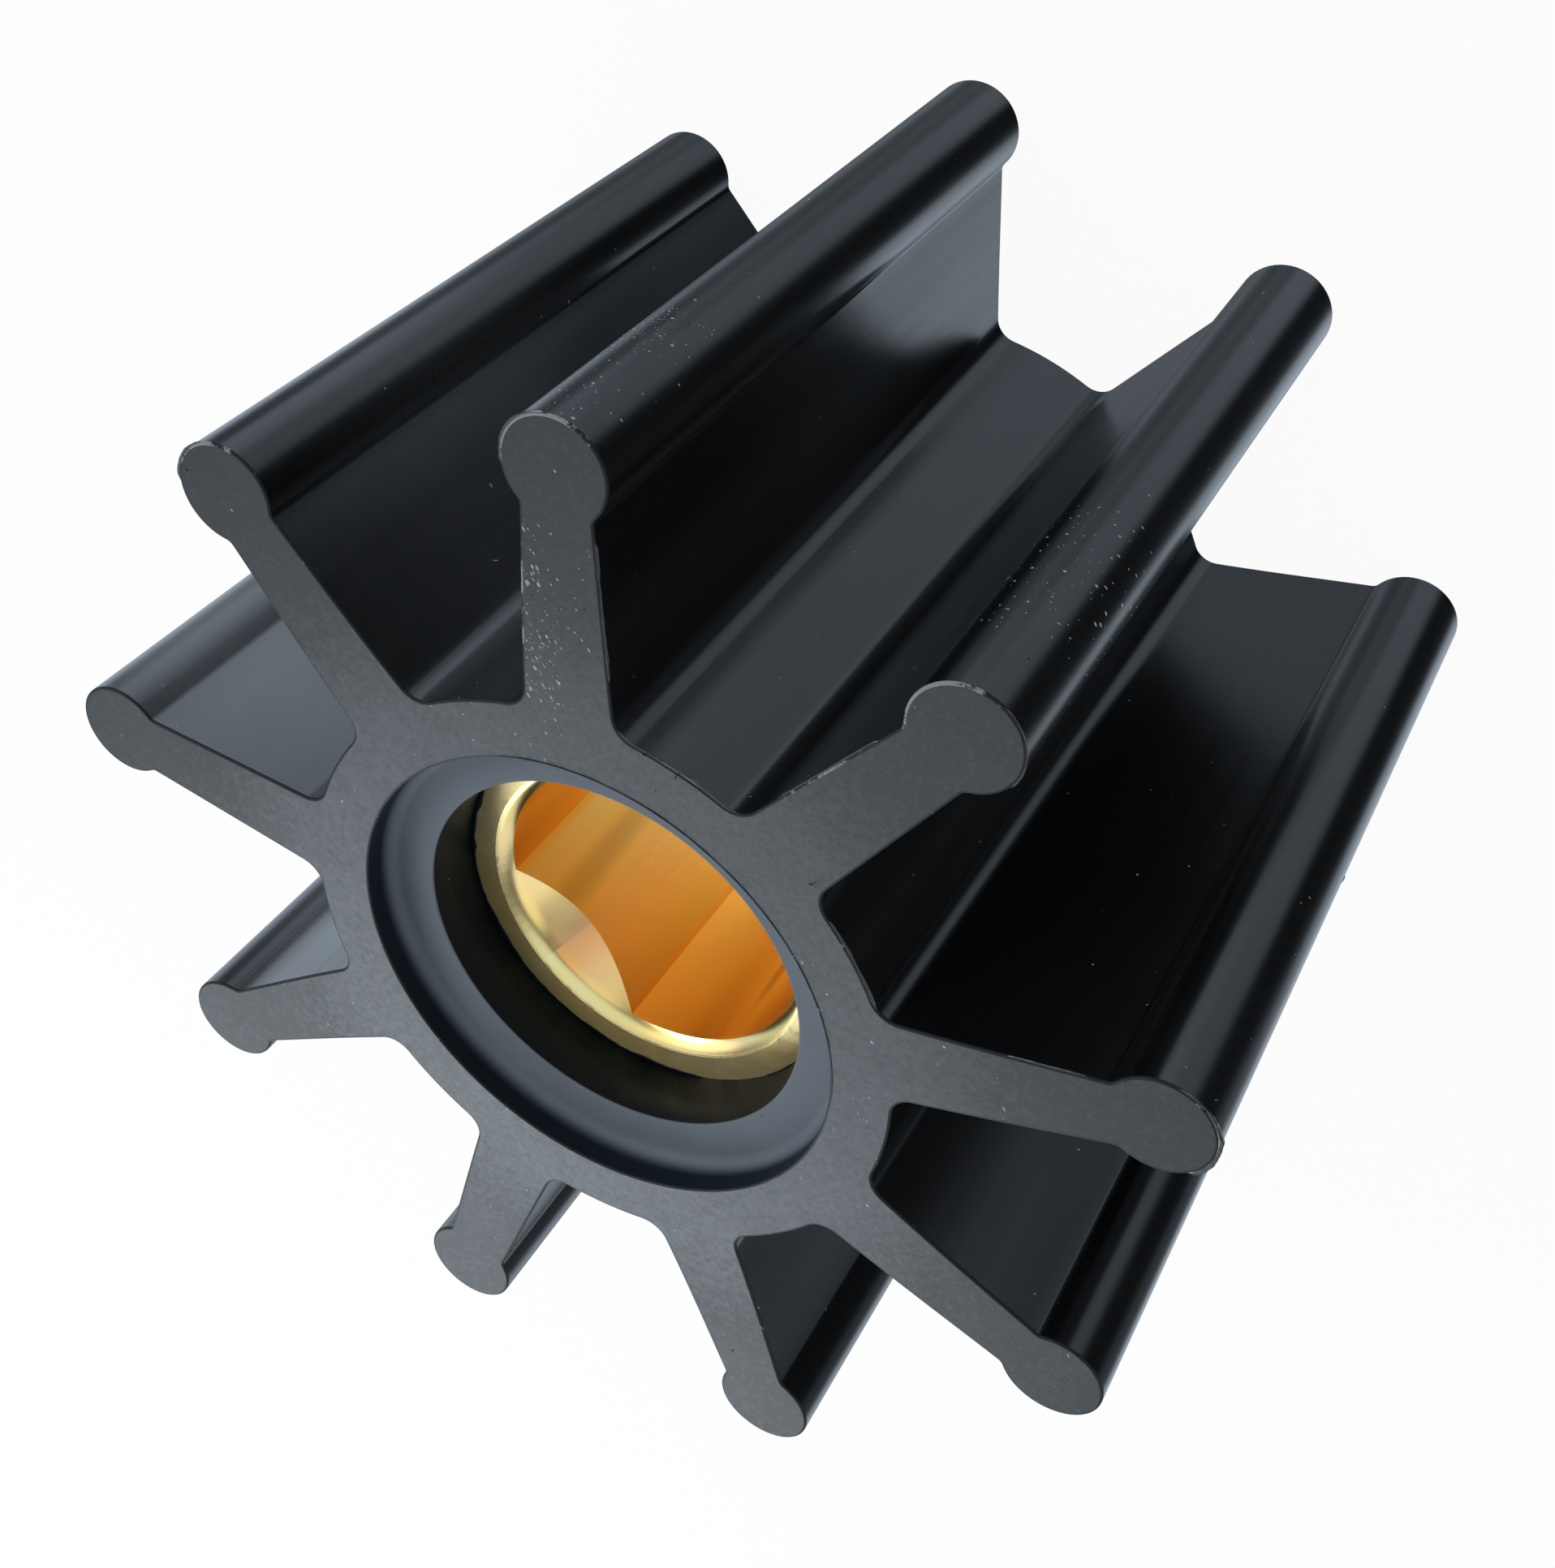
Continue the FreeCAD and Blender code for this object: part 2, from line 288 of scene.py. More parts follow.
@dataclass(frozen=True)
class RubberFinish:
    """Black moulded rubber with fine grain, a worn ring, places of painted sheen and painted shade, wipe
    marks, specks and dust.

    Lengths are in millimetres. A layer of specks has a cell's size, a turn in radians and a scale along Y.
    """

    name: str
    colour: Colour
    # Colour of the worn ring and of the places painted paler as painted sheen.
    worn_and_painted_pale: Colour
    roughness: float
    gloss: float
    grain: float
    speck_share: float
    ring_rub: float = 0.0
    streaks: float = 0.0
    # Spots painted paler on the walls: painted sheen for the bright light that falls on that side and is
    # mirrored there.
    painted_sheen_spots: tuple[Spot, ...] = ()
    dust: tuple[Spot, ...] = ()
    dust_colour: Colour = (0.44, 0.45, 0.47)
    ring_radii: tuple[float, float] = (37.0, 22.5)
    wear_and_painted_light_rough: float = 0.08
    # The counterbore's floor is painted paler as painted sheen, and it fades out over the corner's round as
    # painted shade.
    shelf_painted_light: float = 0.0
    shelf_levels: tuple[float, float, float, float] = (28.7, 28.85, 29.0, 30.4)
    cloud_size: float = 11.0
    wave_size: float = 7.0
    wipe_size: float = 1.3
    mottle_size: float = 0.5
    grain_size: float = 0.13
    mottle_share: float = 2.4
    wave_depth: float = 0.05
    speck_depth: float = 0.03
    speck_layers: tuple[Point, ...] = ((0.22, 0.4, 0.5), (0.33, 2.1, 0.35), (0.5, 1.2, 0.6))
    speck_radii: tuple[float, float] = (0.08, 0.24)

    def specks(self, nodes: Nodes, place: Any) -> Wire:
        """Scatter light specks: each cell of a Voronoi pattern has one, kept if its colour is low.

        Args:
            nodes: the material's nodes.
            place: the place on the object.

        Returns:
            1 on a speck and 0 elsewhere.
        """
        share = near_any(nodes, place, self.dust) + self.speck_share
        small, large = self.speck_radii
        found: Value = 0.0
        for size, turn, long in self.speck_layers:
            seen = nodes.stretch(place, (1.0, long, 1.0), (0.3 * turn, 0.5 * turn, turn))
            cell = nodes.add("ShaderNodeTexVoronoi", {"feature": "F1"},
                             {"Vector": seen, "Scale": 1 / (size * MM)})
            red, green, _ = nodes.parts(cell.outputs["Color"])
            dot = nodes.wire(cell, "Distance") < (green * (large - small) + small)
            found = (dot * (red < share)).most(found)
        return found

    def make(self) -> bpy.types.Material:
        """Build the material."""
        material, nodes = new_material(self.name)
        place = nodes.place()
        across, up, along = nodes.parts(place)
        radius = (across * across + up * up) ** 0.5
        level = along.most(along * -1.0)
        cloud = nodes.noise(self.cloud_size, place, 5.0, 0.6)
        fine = nodes.noise(self.grain_size, place, 3.0, 0.6)
        mottle = nodes.noise(self.mottle_size, place, 3.0, 0.6)
        wave = nodes.noise(self.wave_size, place, 1.0, axial=0.25)
        wipe = nodes.noise(self.wipe_size, place, 3.0, 0.6, axial=0.035)
        speck = self.specks(nodes, place)
        ring = radius.ramp(self.ring_radii[0] * MM, self.ring_radii[1] * MM) * self.ring_rub
        bottom, low, high, top = (value * MM for value in self.shelf_levels)
        shelf = level.ramp(bottom, low) * level.ramp(top, high) * self.shelf_painted_light
        # The ring is real wear; the shelf and the spots are painted sheen, and the shelf's fade into the
        # corner is painted shade.
        wear_and_painted_light = ring + shelf + near_any(nodes, place, self.painted_sheen_spots)
        wear_and_painted_light = wear_and_painted_light * (cloud * 0.5 + 0.75) + (mottle - 0.5) * self.mottle_share * self.ring_rub
        wear_and_painted_light = wear_and_painted_light.most(0.0).least(1.0)
        body = nodes.mix(wear_and_painted_light, self.colour, self.worn_and_painted_pale)
        rough = (cloud - 0.5) * 0.1 + (wipe - 0.5) * self.streaks + self.roughness
        rough = rough + speck * 0.3 + wear_and_painted_light * self.wear_and_painted_light_rough
        relief = nodes.bump(wave, self.wave_depth)
        relief = nodes.bump(fine, self.grain, relief)
        relief = nodes.bump(speck, self.speck_depth, relief)
        nodes.surface(Base_Color=nodes.mix(speck, body, self.dust_colour), Roughness=rough, Normal=relief,
                      Specular_IOR_Level=self.gloss)
        return material


@dataclass(frozen=True)
class TrimmedFinish:
    """The trimmed edges of the rubber: a pale line in patches, a painted highlight for the light that their
    rounds catch, and dark elsewhere.
    """

    name: str
    dark: Colour
    # The pale colour, the spots and the share paint a highlight along the edges.
    pale: Colour
    painted_highlight_spots: tuple[Spot, ...] = ()
    painted_highlight_share: float = 0.02
    painted_highlight_change: tuple[float, float] = (0.66, 0.78)
    roughness: float = 0.55
    gloss: float = 0.25
    patch_size: float = 0.9
    torn_depth: float = 0.03
    grain_size: float = 0.12
    grain_depth: float = 0.015

    def make(self) -> bpy.types.Material:
        """Build the material."""
        material, nodes = new_material(self.name)
        place = nodes.place()
        broken = nodes.noise(self.patch_size, place, 4.0, 0.7)
        fine = nodes.noise(self.grain_size, place, 2.0, 0.6)
        # Painted highlight: pale patches where the noise and the spots are high.
        share = near_any(nodes, place, self.painted_highlight_spots) + self.painted_highlight_share
        painted_highlight = (broken + share * 0.5).ramp(*self.painted_highlight_change)
        shade = painted_highlight * (fine * 0.9 + 0.35)
        relief = nodes.bump(broken, self.torn_depth)
        relief = nodes.bump(fine, self.grain_depth, relief)
        nodes.surface(Base_Color=nodes.mix(shade.least(1.0), self.dark, self.pale),
                      Roughness=self.roughness, Normal=relief, Specular_IOR_Level=self.gloss)
        return material


@dataclass(frozen=True)
class BrassFinish:
    """Turned brass: rings and dull blotches on the land, a bright cone and long marks in the deep bore,
    with painted reflections: deeper orange on the bore's round wall and warm and olive bands across the
    flats.

    Lengths are in millimetres. A change from one part of the insert to the next starts and ends so far
    below the land, or so far inside the bore's radius. A stain or a drag mark starts and is full at two
    values of its noise, and its share says how much of its colour shows.
    """

    name: str = "turned_brass"
    colour: Colour = (0.91, 0.70, 0.27)
    pale: Colour = (0.95, 0.78, 0.40)
    # Painted reflection: the deeper orange that light bounced round the bore gives its round wall.
    deep: Colour = (0.98, 0.64, 0.22)
    smudge: Colour = (0.40, 0.31, 0.13)
    drag: Colour = (0.50, 0.25, 0.06)
    # Painted reflections across the flats: a peach band and an olive band.
    peach: Colour = (0.92, 0.60, 0.36)
    olive: Colour = (0.50, 0.38, 0.19)
    flat_turn_deg: float = 12.6
    bore_radius: float = 12.7
    cone_radius: float = 13.7
    land_level: float = 23.75
    land_change: tuple[float, float] = (0.22, 0.02)
    bore_change: tuple[float, float] = (1.1, 1.6)
    wall_change: tuple[float, float] = (0.5, 0.2)
    stain_change: tuple[float, float] = (0.5, 0.68)
    drag_change: tuple[float, float] = (0.62, 0.76)
    stain_share: float = 0.65
    drag_share: float = 0.6
    painted_peach_share: float = 0.5
    painted_olive_share: float = 0.55
    roughness: float = 0.21
    blotch_size: float = 2.2
    mark_size: float = 1.4
    soft_size: float = 6.0
    scratch_size: float = 2.6
    ring_pitch: float = 0.35
    crown_depth: float = 0.38
    ring_depth: float = 0.004
    mark_depth: float = 0.0008
    blotch_depth: float = 0.015

    def make(self) -> bpy.types.Material:
        """Build the material."""
        material, nodes = new_material(self.name)
        place = nodes.place()
        across, up, along = nodes.parts(place)
        radius = (across * across + up * up) ** 0.5
        level = along.most(along * -1.0)
        on_land = level.ramp(*((self.land_level - drop) * MM for drop in self.land_change))
        in_bore = level.ramp(*((self.land_level - drop) * MM for drop in self.bore_change))
        round_wall = in_bore * radius.ramp(*((self.bore_radius - away) * MM for away in self.wall_change))
        blotch = nodes.noise(self.blotch_size, place, 5.0, 0.65)
        marks = nodes.noise(self.mark_size, place, 2.0, axial=0.03)
        soft = nodes.noise(self.soft_size, place, 2.0, axial=0.4)
        scratch = nodes.noise(self.scratch_size, place, 2.0, axial=0.08)
        stain = blotch.ramp(*self.stain_change) * on_land
        dragged = scratch.ramp(*self.drag_change) * round_wall
        clean = nodes.mix(soft.ramp(0.3, 0.7), self.colour, self.pale)
        # Painted reflection: the round wall is painted a deeper orange.
        clean = nodes.mix(round_wall, clean, self.deep)
        turn = math.radians(self.flat_turn_deg)
        beside = (up * math.cos(turn) - across * math.sin(turn)) * (1 / MM) + (soft - 0.5) * 2.0
        on_flat = in_bore * (1.0 - round_wall)
        # Painted reflections: a warm band and an olive band across each flat.
        painted_warm_reflection = on_flat * beside.ramp(-2.5, 0.0) * beside.ramp(6.0, 2.5)
        dull = on_flat * beside.ramp(-5.0, -3.4) * beside.ramp(-1.0, -2.8)
        clean = nodes.mix(painted_warm_reflection * self.painted_peach_share, clean, self.peach)
        clean = nodes.mix(dull * self.painted_olive_share, clean, self.olive)
        body = nodes.mix(stain * self.stain_share, clean, self.smudge)
        body = nodes.mix(dragged * self.drag_share, body, self.drag)
        rough = in_bore * (marks * 0.08 + 0.04) + self.roughness + stain * 0.15 + dragged * 0.1
        metal = 1.0 - on_land * (stain * 0.25 + 0.4)
        wave = nodes.add("ShaderNodeTexWave", {"wave_type": "RINGS", "rings_direction": "Z"},
                         {"Vector": place, "Scale": 1 / (self.ring_pitch * MM), "Distortion": 0.6})
        relief = nodes.bump(nodes.wire(wave, 1) * on_land, self.ring_depth)
        past_bore = radius * (1 / MM) - self.bore_radius
        past_bore = past_bore.most(0.0).least(self.cone_radius - self.bore_radius)
        relief = nodes.bump(past_bore * past_bore * -1.0, self.crown_depth, relief)
        relief = nodes.bump(marks * in_bore, self.mark_depth, relief)
        relief = nodes.bump(blotch * on_land, self.blotch_depth, relief)
        nodes.surface(Base_Color=body, Metallic=metal, Roughness=rough, Normal=relief)
        return material


@dataclass
class Patch:
    """A grid of points, rows by columns, that becomes quads of one finish."""

    points: np.ndarray
    finish: int = Finish.SKIN
    wraps: bool = False
    flipped: bool = False

    def quads(self, start: int) -> np.ndarray:
        """Number the corners of every quad, counting from start."""
        rows, columns = self.points.shape[:2]
        index = np.arange(rows * columns).reshape(rows, columns) + start
        if self.wraps:
            index = np.concatenate([index, index[:, :1]], axis=1)
        made = np.stack([index[:-1, :-1], index[:-1, 1:], index[1:, 1:], index[1:, :-1]], -1).reshape(-1, 4)
        return made[:, ::-1] if self.flipped else made


def weld(corners: np.ndarray, quads: np.ndarray) -> tuple[np.ndarray, list[list[int]], np.ndarray]:
    """Merge points that lie together and drop the sides that vanish.

    Args:
        corners: the points in millimetres.
        quads: the corners of each quad.

    Returns:
        The merged points, the faces, and which quads they came from.
    """
    cells = np.round(corners / WELD_MM).astype(np.int64)
    _, first, place = np.unique(cells, axis=0, return_index=True, return_inverse=True)
    place = place.reshape(-1)[quads]
    faces: list[list[int]] = []
    kept: list[int] = []
    for number, face in enumerate(place.tolist()):
        loop = [corner for index, corner in enumerate(face) if corner != face[index - 1]]
        if len(set(loop)) == len(loop) and len(loop) > 2:
            faces.append(loop)
            kept.append(number)
    return corners[first], faces, np.array(kept)


def make_piece(name: str, patches: Sequence[Patch],
               materials: Sequence[bpy.types.Material]) -> bpy.types.Object:
    """Turn patches into one rubber piece that rides on the part.

    Args:
        name: the piece's name.
        patches: its surfaces in millimetres.
        materials: the finishes that the patches number.

    Returns:
        The piece.
    """
    corners = np.concatenate([patch.points.reshape(-1, 3) for patch in patches])
    starts = np.cumsum([0] + [patch.points[..., 0].size for patch in patches[:-1]])
    quads = [patch.quads(start) for patch, start in zip(patches, starts)]
    finish = np.concatenate([np.full(len(made), patch.finish) for patch, made in zip(patches, quads)])
    points, faces, kept = weld(corners, np.concatenate(quads))
    mesh = bpy.data.meshes.new(name)
    mesh.from_pydata((points * MM).tolist(), [], faces)
    mesh.polygons.foreach_set("material_index", finish[kept].astype(np.int32))
    mesh.polygons.foreach_set("use_smooth", np.ones(len(faces), bool))
    for material in materials:
        mesh.materials.append(material)
    mesh.update()
    piece = bpy.data.objects.new(name, mesh)
    bpy.context.scene.collection.objects.link(piece)
    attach(piece, BODY)
    log.info("%s: %d faces", name, len(faces))
    return piece


def turned(points: np.ndarray, angle: np.ndarray | float) -> np.ndarray:
    """Turn points about the shaft axis by an angle in radians."""
    x, y = points[..., 0], points[..., 1]
    cos, sin = np.cos(angle), np.sin(angle)
    made = points.copy()
    made[..., 0] = x * cos - y * sin
    made[..., 1] = x * sin + y * cos
    return made


def cosine(degrees: float) -> float:
    """Give the cosine of an angle in degrees."""
    return math.cos(math.radians(degrees))


def smooth(value: np.ndarray) -> np.ndarray:
    """Rise smoothly from 0 to 1."""
    value = np.clip(value, 0, 1)
    return value * value * (3 - 2 * value)


def closing(value: np.ndarray) -> np.ndarray:
    """Ease a value in, no lower than a tenth until its two ends, which are 0."""
    eased = np.maximum(smooth(value), 0.1)
    eased[[0, -1]] = 0.0
    return eased


def rays(angle: np.ndarray) -> np.ndarray:
    """Give the unit vectors at some angles in radians: cosine and sine."""
    return np.stack([np.cos(angle), np.sin(angle)], -1)


def full_turn(count: int) -> np.ndarray:
    """Give so many even angles round a circle, in radians."""
    return np.linspace(0, 2 * math.pi, count, endpoint=False)


def rounded(radius: np.ndarray | float, turn: np.ndarray, level: np.ndarray | float) -> np.ndarray:
    """Place points about the axis: radius times cosine, radius times sine, and the level."""
    return np.stack([radius * np.cos(turn), radius * np.sin(turn), level + 0 * turn], -1)


def ragged(count: int, seed: int, coarse: int, closed: bool = False) -> np.ndarray:
    """Make an uneven run of numbers from 0 to 1.

    Four layers of random values are joined by smooth steps, each with twice as many values as the last and
    0.6 of its strength. The sum is stretched 1.7 times about its middle, to reach 0 and 1.

    Args:
        count: how many numbers.
        seed: which run it is.
        coarse: how many values the first layer has.
        closed: whether the end meets the start.

    Returns:
        The numbers.
    """
    draw = np.random.default_rng(seed)
    total, weight = np.zeros(count), 0.0
    for layer in range(4):
        knots = coarse * 2**layer
        values = draw.random(knots + 1)
        if closed:
            values[-1] = values[0]
        place = np.linspace(0, knots, count, endpoint=not closed)
        low = np.minimum(place.astype(int), knots - 1)
        strength = 0.6**layer
        total += strength * (values[low] + (values[low + 1] - values[low]) * smooth(place - low))
        weight += strength
    return np.clip((total / weight - 0.5) * 1.7 + 0.5, 0, 1)


@dataclass
class Moulding:
    """The rubber: hub, nine vanes with round heads, and the stepped bore.

    Lengths are in millimetres. Beside each edge's round is one more row of points, as far away as support
    says. A vane's end face has as many points from side to side as across says.
    """

    half_width: float = 31.75
    tip_radius: float = 47.6
    head_radius: float = 3.95
    web_root_half: float = 3.85
    web_tip_half: float = 2.55
    root_fillet: float = 2.0
    neck_fillet: float = 0.8
    hub_front: float = 24.6
    hub_rear: float = 25.4
    insert_radius: float = 19.0
    insert_level: float = 23.75
    seat_radius: float = 19.85
    seat_level: float = 28.9
    seat_fillet: float = 1.0
    mouth_radius: float = 15.9
    edge: float = 0.14
    support: float = 0.06
    vanes: int = 9
    key_low: tuple[float, ...] = (-14.0, -2.0, 10.0)
    key_width: float = 4.0
    key_depth: float = 1.2
    steps: dict[Segment, int] = field(default_factory=lambda: {
        Segment.HUB: 5, Segment.ROOT: 8, Segment.WEB: 14, Segment.NECK: 6, Segment.HEAD: 20})
    across: int = 9
    edge_points: int = 4
    fillet_points: int = 9
    wall_rows: int = 13
    ring_rows: int = 5
    lean_deg: tuple[float, ...] = (0.43, 0.15, -0.75, 0.84, 0.54, -0.1, -0.26, -1.05, 0.0)

    @property
    def head_centre(self) -> float:
        """How far the head's centre is from the axis."""
        return self.tip_radius - self.head_radius

    @property
    def pitch(self) -> float:
        """The angle from vane to vane, in radians."""
        return 2 * math.pi / self.vanes

    def hub_radius(self, level: np.ndarray) -> np.ndarray:
        """Give the hub's radius: it grows evenly from the front end to the rear end."""
        share = (self.half_width - level) / (2 * self.half_width)
        return self.hub_front + (self.hub_rear - self.hub_front) * share

    def spread(self, first: np.ndarray, last: np.ndarray, segment: Segment) -> np.ndarray:
        """Step evenly from first to last, with as many steps as the segment has."""
        share = np.linspace(0, 1, self.steps[segment] + 1)
        return first[..., None] * (1 - share) + last[..., None] * share

    def half_outline(self, level: np.ndarray) -> tuple[np.ndarray, np.ndarray]:
        """Work out one side of a vane at some levels: hub arc, root fillet, web, neck fillet and head arc.

        The fillets' centres lie on the web's line moved out by their radius, and at a sum of radii from the
        hub's centre and the head's. Each arc is a centre plus a radius times cosine and sine.

        Args:
            level: heights along the axis.

        Returns:
            The points and the outward normals, each rows by points by 2.
        """
        hub = self.hub_radius(level)
        taper = self.web_root_half - self.web_tip_half
        slope = math.atan(taper / (self.head_centre - self.insert_radius))
        along = np.array([math.cos(slope), -math.sin(slope)])
        away = np.array([math.sin(slope), math.cos(slope)])
        start = np.array([self.insert_radius, self.web_root_half])

        base = start + self.root_fillet * away
        reach = hub + self.root_fillet
        run = -base @ along + np.sqrt((base @ along) ** 2 - base @ base + reach**2)
        root = base + run[:, None] * along
        root_turn = np.arctan2(root[:, 1], root[:, 0])

        head = np.array([self.head_centre, 0.0])
        base = start + self.neck_fillet * away - head
        reach = self.head_radius + self.neck_fillet
        run = -base @ along - math.sqrt((base @ along) ** 2 - base @ base + reach**2)
        neck = base + run * along + head
        neck_turn = math.atan2(neck[1] - head[1], neck[0] - head[0])
        low = 1.5 * math.pi - slope

        ones = np.ones_like(hub)
        hub_way = rays(self.spread(ones * self.pitch / 2, root_turn, Segment.HUB))
        root_way = rays(self.spread(math.pi + root_turn, ones * low, Segment.ROOT))
        neck_way = rays(self.spread(ones * low, ones * (math.pi + neck_turn), Segment.NECK))
        head_way = rays(self.spread(ones * neck_turn, ones * 0.0, Segment.HEAD))
        web_start = root - self.root_fillet * away
        web_end = (neck - self.neck_fillet * away) * ones[:, None]
        share = np.linspace(0, 1, self.steps[Segment.WEB] + 1)[None, :, None]
        web = web_start[:, None, :] * (1 - share) + web_end[:, None, :] * share

        points = [
            hub[:, None, None] * hub_way,
            root[:, None, :] + self.root_fillet * root_way,
            web,
            neck + self.neck_fillet * neck_way,
            head + self.head_radius * head_way,
        ]
        normals = [hub_way, -root_way, np.broadcast_to(away, web.shape), -neck_way, head_way]
        points = points[:1] + [part[:, 1:] for part in points[1:]]
        normals = normals[:1] + [part[:, 1:] for part in normals[1:]]
        return np.concatenate(points, 1), np.concatenate(normals, 1)

    def offset_of(self, segment: Segment) -> int:
        """Count the steps from the start of the half outline to the start of a segment."""
        return sum(self.steps[item] for item in Segment if item.value < segment.value)

    def half_at(self, level: np.ndarray, inset: np.ndarray) -> np.ndarray:
        """Give the half outline moved inwards along its normals."""
        points, normals = self.half_outline(level)
        return points - inset[:, None, None] * normals

    def bent(self, points: np.ndarray, vane: int) -> np.ndarray:
        """Turn one vane a little, more towards its tip, as rubber vanes stand slightly uneven."""
        radius = np.hypot(points[..., 0], points[..., 1])
        reach = smooth((radius - self.hub_rear) / (self.head_centre - self.hub_rear))
        return turned(points, vane * self.pitch + math.radians(self.lean_deg[vane]) * reach)

    def section(self, level: np.ndarray, inset: np.ndarray) -> np.ndarray:
        """Draw the whole section at some levels, vane after vane, moved inwards by the insets.

        Args:
            level: heights along the axis.
            inset: how far each is moved inwards.

        Returns:
            The closed outlines, rows by points by 3.
        """
        half = self.half_at(level, inset)
        mirrored = half * np.array([1.0, -1.0])
        vane = np.concatenate([mirrored, half[:, ::-1][:, 1:-1]], 1)
        height = np.broadcast_to(level[:, None, None], vane[..., :1].shape)
        vane = np.concatenate([vane, height], -1)
        return np.concatenate([self.bent(vane, number) for number in range(self.vanes)], 1)

    def wall(self) -> list[Patch]:
        """Sweep the outline along the axis, with a small round at each end.

        A row is the outline at one level. Over the edge's round it moves inwards by its radius times
        (1 - sine) at a level lower by its radius times (1 - cosine).

        Returns:
            The rounded edge of the front end, the wall and the edge of the rear end.
        """
        turn = np.linspace(0, math.pi / 2, self.edge_points)
        inset = np.concatenate([[self.edge + self.support], self.edge * (1 - np.sin(turn)), [0.0]])
        drop = np.concatenate([[0.0], self.edge * (1 - np.cos(turn)), [self.edge + self.support]])
        share = np.linspace(1, -1, self.wall_rows + 2)[1:-1]
        middle = share * (self.half_width - self.edge - self.support)
        level = np.concatenate([self.half_width - drop, middle, -(self.half_width - drop)[::-1]])
        rows = len(drop)
        inset = np.concatenate([inset, np.zeros_like(middle), inset[::-1]])
        around = self.section(level, inset)
        parts = ((around[:rows], Finish.EDGE), (around[rows - 1:1 - rows], Finish.SKIN),
                 (around[-rows:], Finish.EDGE))
        return [Patch(part, finish, wraps=True, flipped=True) for part, finish in parts]

    def outline(self, level: float, step: float) -> tuple[np.ndarray, np.ndarray]:
        """Follow the section at one level in even steps.

        Args:
            level: the height along the axis.
            step: how far it is from point to point.

        Returns:
            The points and the unit vectors that point out of the rubber, each points by 2. The vectors are
            the line's own direction turned a quarter clockwise.
        """
        loop = self.section(np.array([level]), np.zeros(1))[0, :, :2]
        loop = np.concatenate([loop, loop[:1]])
        run = np.concatenate([[0.0], np.cumsum(np.hypot(*np.diff(loop, axis=0).T))])
        place = np.linspace(0, run[-1], round(run[-1] / step), endpoint=False)
        line = np.stack([np.interp(place, run, loop[:, axis]) for axis in (0, 1)], -1)
        along = np.roll(line, -1, 0) - np.roll(line, 1, 0)
        along /= np.hypot(*along.T)[:, None]
        return line, np.stack([along[:, 1], -along[:, 0]], -1)

    def face_parts(self, end: int) -> tuple[np.ndarray, list[np.ndarray], float]:
        """Split one end face into the angles of its ring, its vanes and the ring's outer radius.

        A vane's rows run across it from side to side. The first is an arc of the hub's circle, and the rows
        straighten out by the end of the root fillet.

        Args:
            end: 1 for the front and -1 for the rear.

        Returns:
            The ring's angles for one vane, the vanes' grids, and the radius.
        """
        level = np.array([end * self.half_width])
        inset = self.edge + self.support
        half = self.half_at(level, np.array([inset]))[0]
        first = self.offset_of(Segment.ROOT)
        last = self.offset_of(Segment.WEB)
        side = half[first:]
        ring = float(self.hub_radius(level)[0]) - inset
        turn = math.atan2(side[0, 1], side[0, 0])
        share = np.linspace(-1, 1, self.across)
        fade = np.clip((side[:, 0] - side[0, 0]) / (half[last, 0] - side[0, 0]), 0, 1)
        middle = ring + (half[last, 0] - ring) * fade
        bulge = np.where(fade < 1, middle - side[:, 0], 0.0)
        x = side[:, :1] + bulge[:, None] * (1 - share**2)
        y = side[:, 1:] * share
        x[0] = ring * np.cos(turn * share)
        y[0] = ring * np.sin(turn * share)
        grid = np.stack([x, y, np.full_like(x, level[0])], -1)
        hub_turn = np.arctan2(half[:first + 1, 1], half[:first + 1, 0])
        angles = np.concatenate([-hub_turn[:-1], turn * share, hub_turn[::-1][1:-1]])
        return angles, [self.bent(grid, number) for number in range(self.vanes)], ring

    def around(self, profile: np.ndarray, angles: np.ndarray) -> np.ndarray:
        """Turn a profile of radius and level about the axis.

        Args:
            profile: rows of radius and level.
            angles: the angles for one vane, repeated for all.

        Returns:
            Rows by columns by 3.
        """
        turn = np.concatenate([angles + number * self.pitch for number in range(self.vanes)])
        return rounded(profile[:, :1], turn, profile[:, 1:])

    def bore_profile(self) -> np.ndarray:
        """Draw the bore's front half: seat with a rounded rim, floor, mouth, ledge and key ribs."""
        turn = np.linspace(0, math.pi / 2, self.edge_points)
        out, inn = 1 - np.sin(turn), 1 - np.cos(turn)
        rim = np.stack([self.seat_radius + self.edge * out, self.half_width - self.edge * inn], -1)
        wide = np.linspace(0, math.pi / 2, self.fillet_points)
        corner = np.stack([self.seat_radius - self.seat_fillet * (1 - np.cos(wide)),
                           self.seat_level + self.seat_fillet * (1 - np.sin(wide))], -1)
        lip = np.stack([self.mouth_radius + self.edge * out, self.seat_level - self.edge * inn], -1)
        plain = [
            rim,
            [[self.seat_radius, self.half_width - self.edge - self.support]],
            corner,
            [[self.mouth_radius + self.edge + self.support, self.seat_level]],
            lip,
            [[self.mouth_radius, self.seat_level - self.edge - self.support]],
            [[self.mouth_radius, self.insert_level]],
            [[self.insert_radius, self.insert_level]],
        ]
        return np.concatenate([np.asarray(part) for part in plain])

    def key_profile(self) -> np.ndarray:
        """Draw the ribs that lie in the insert's grooves, from the top one down."""
        rows = []
        for low in sorted(self.key_low, reverse=True):
            high = low + self.key_width
            deep = self.insert_radius - self.key_depth
            rows += [[self.insert_radius, high], [deep, high], [deep, low], [self.insert_radius, low]]
        return np.array(rows)

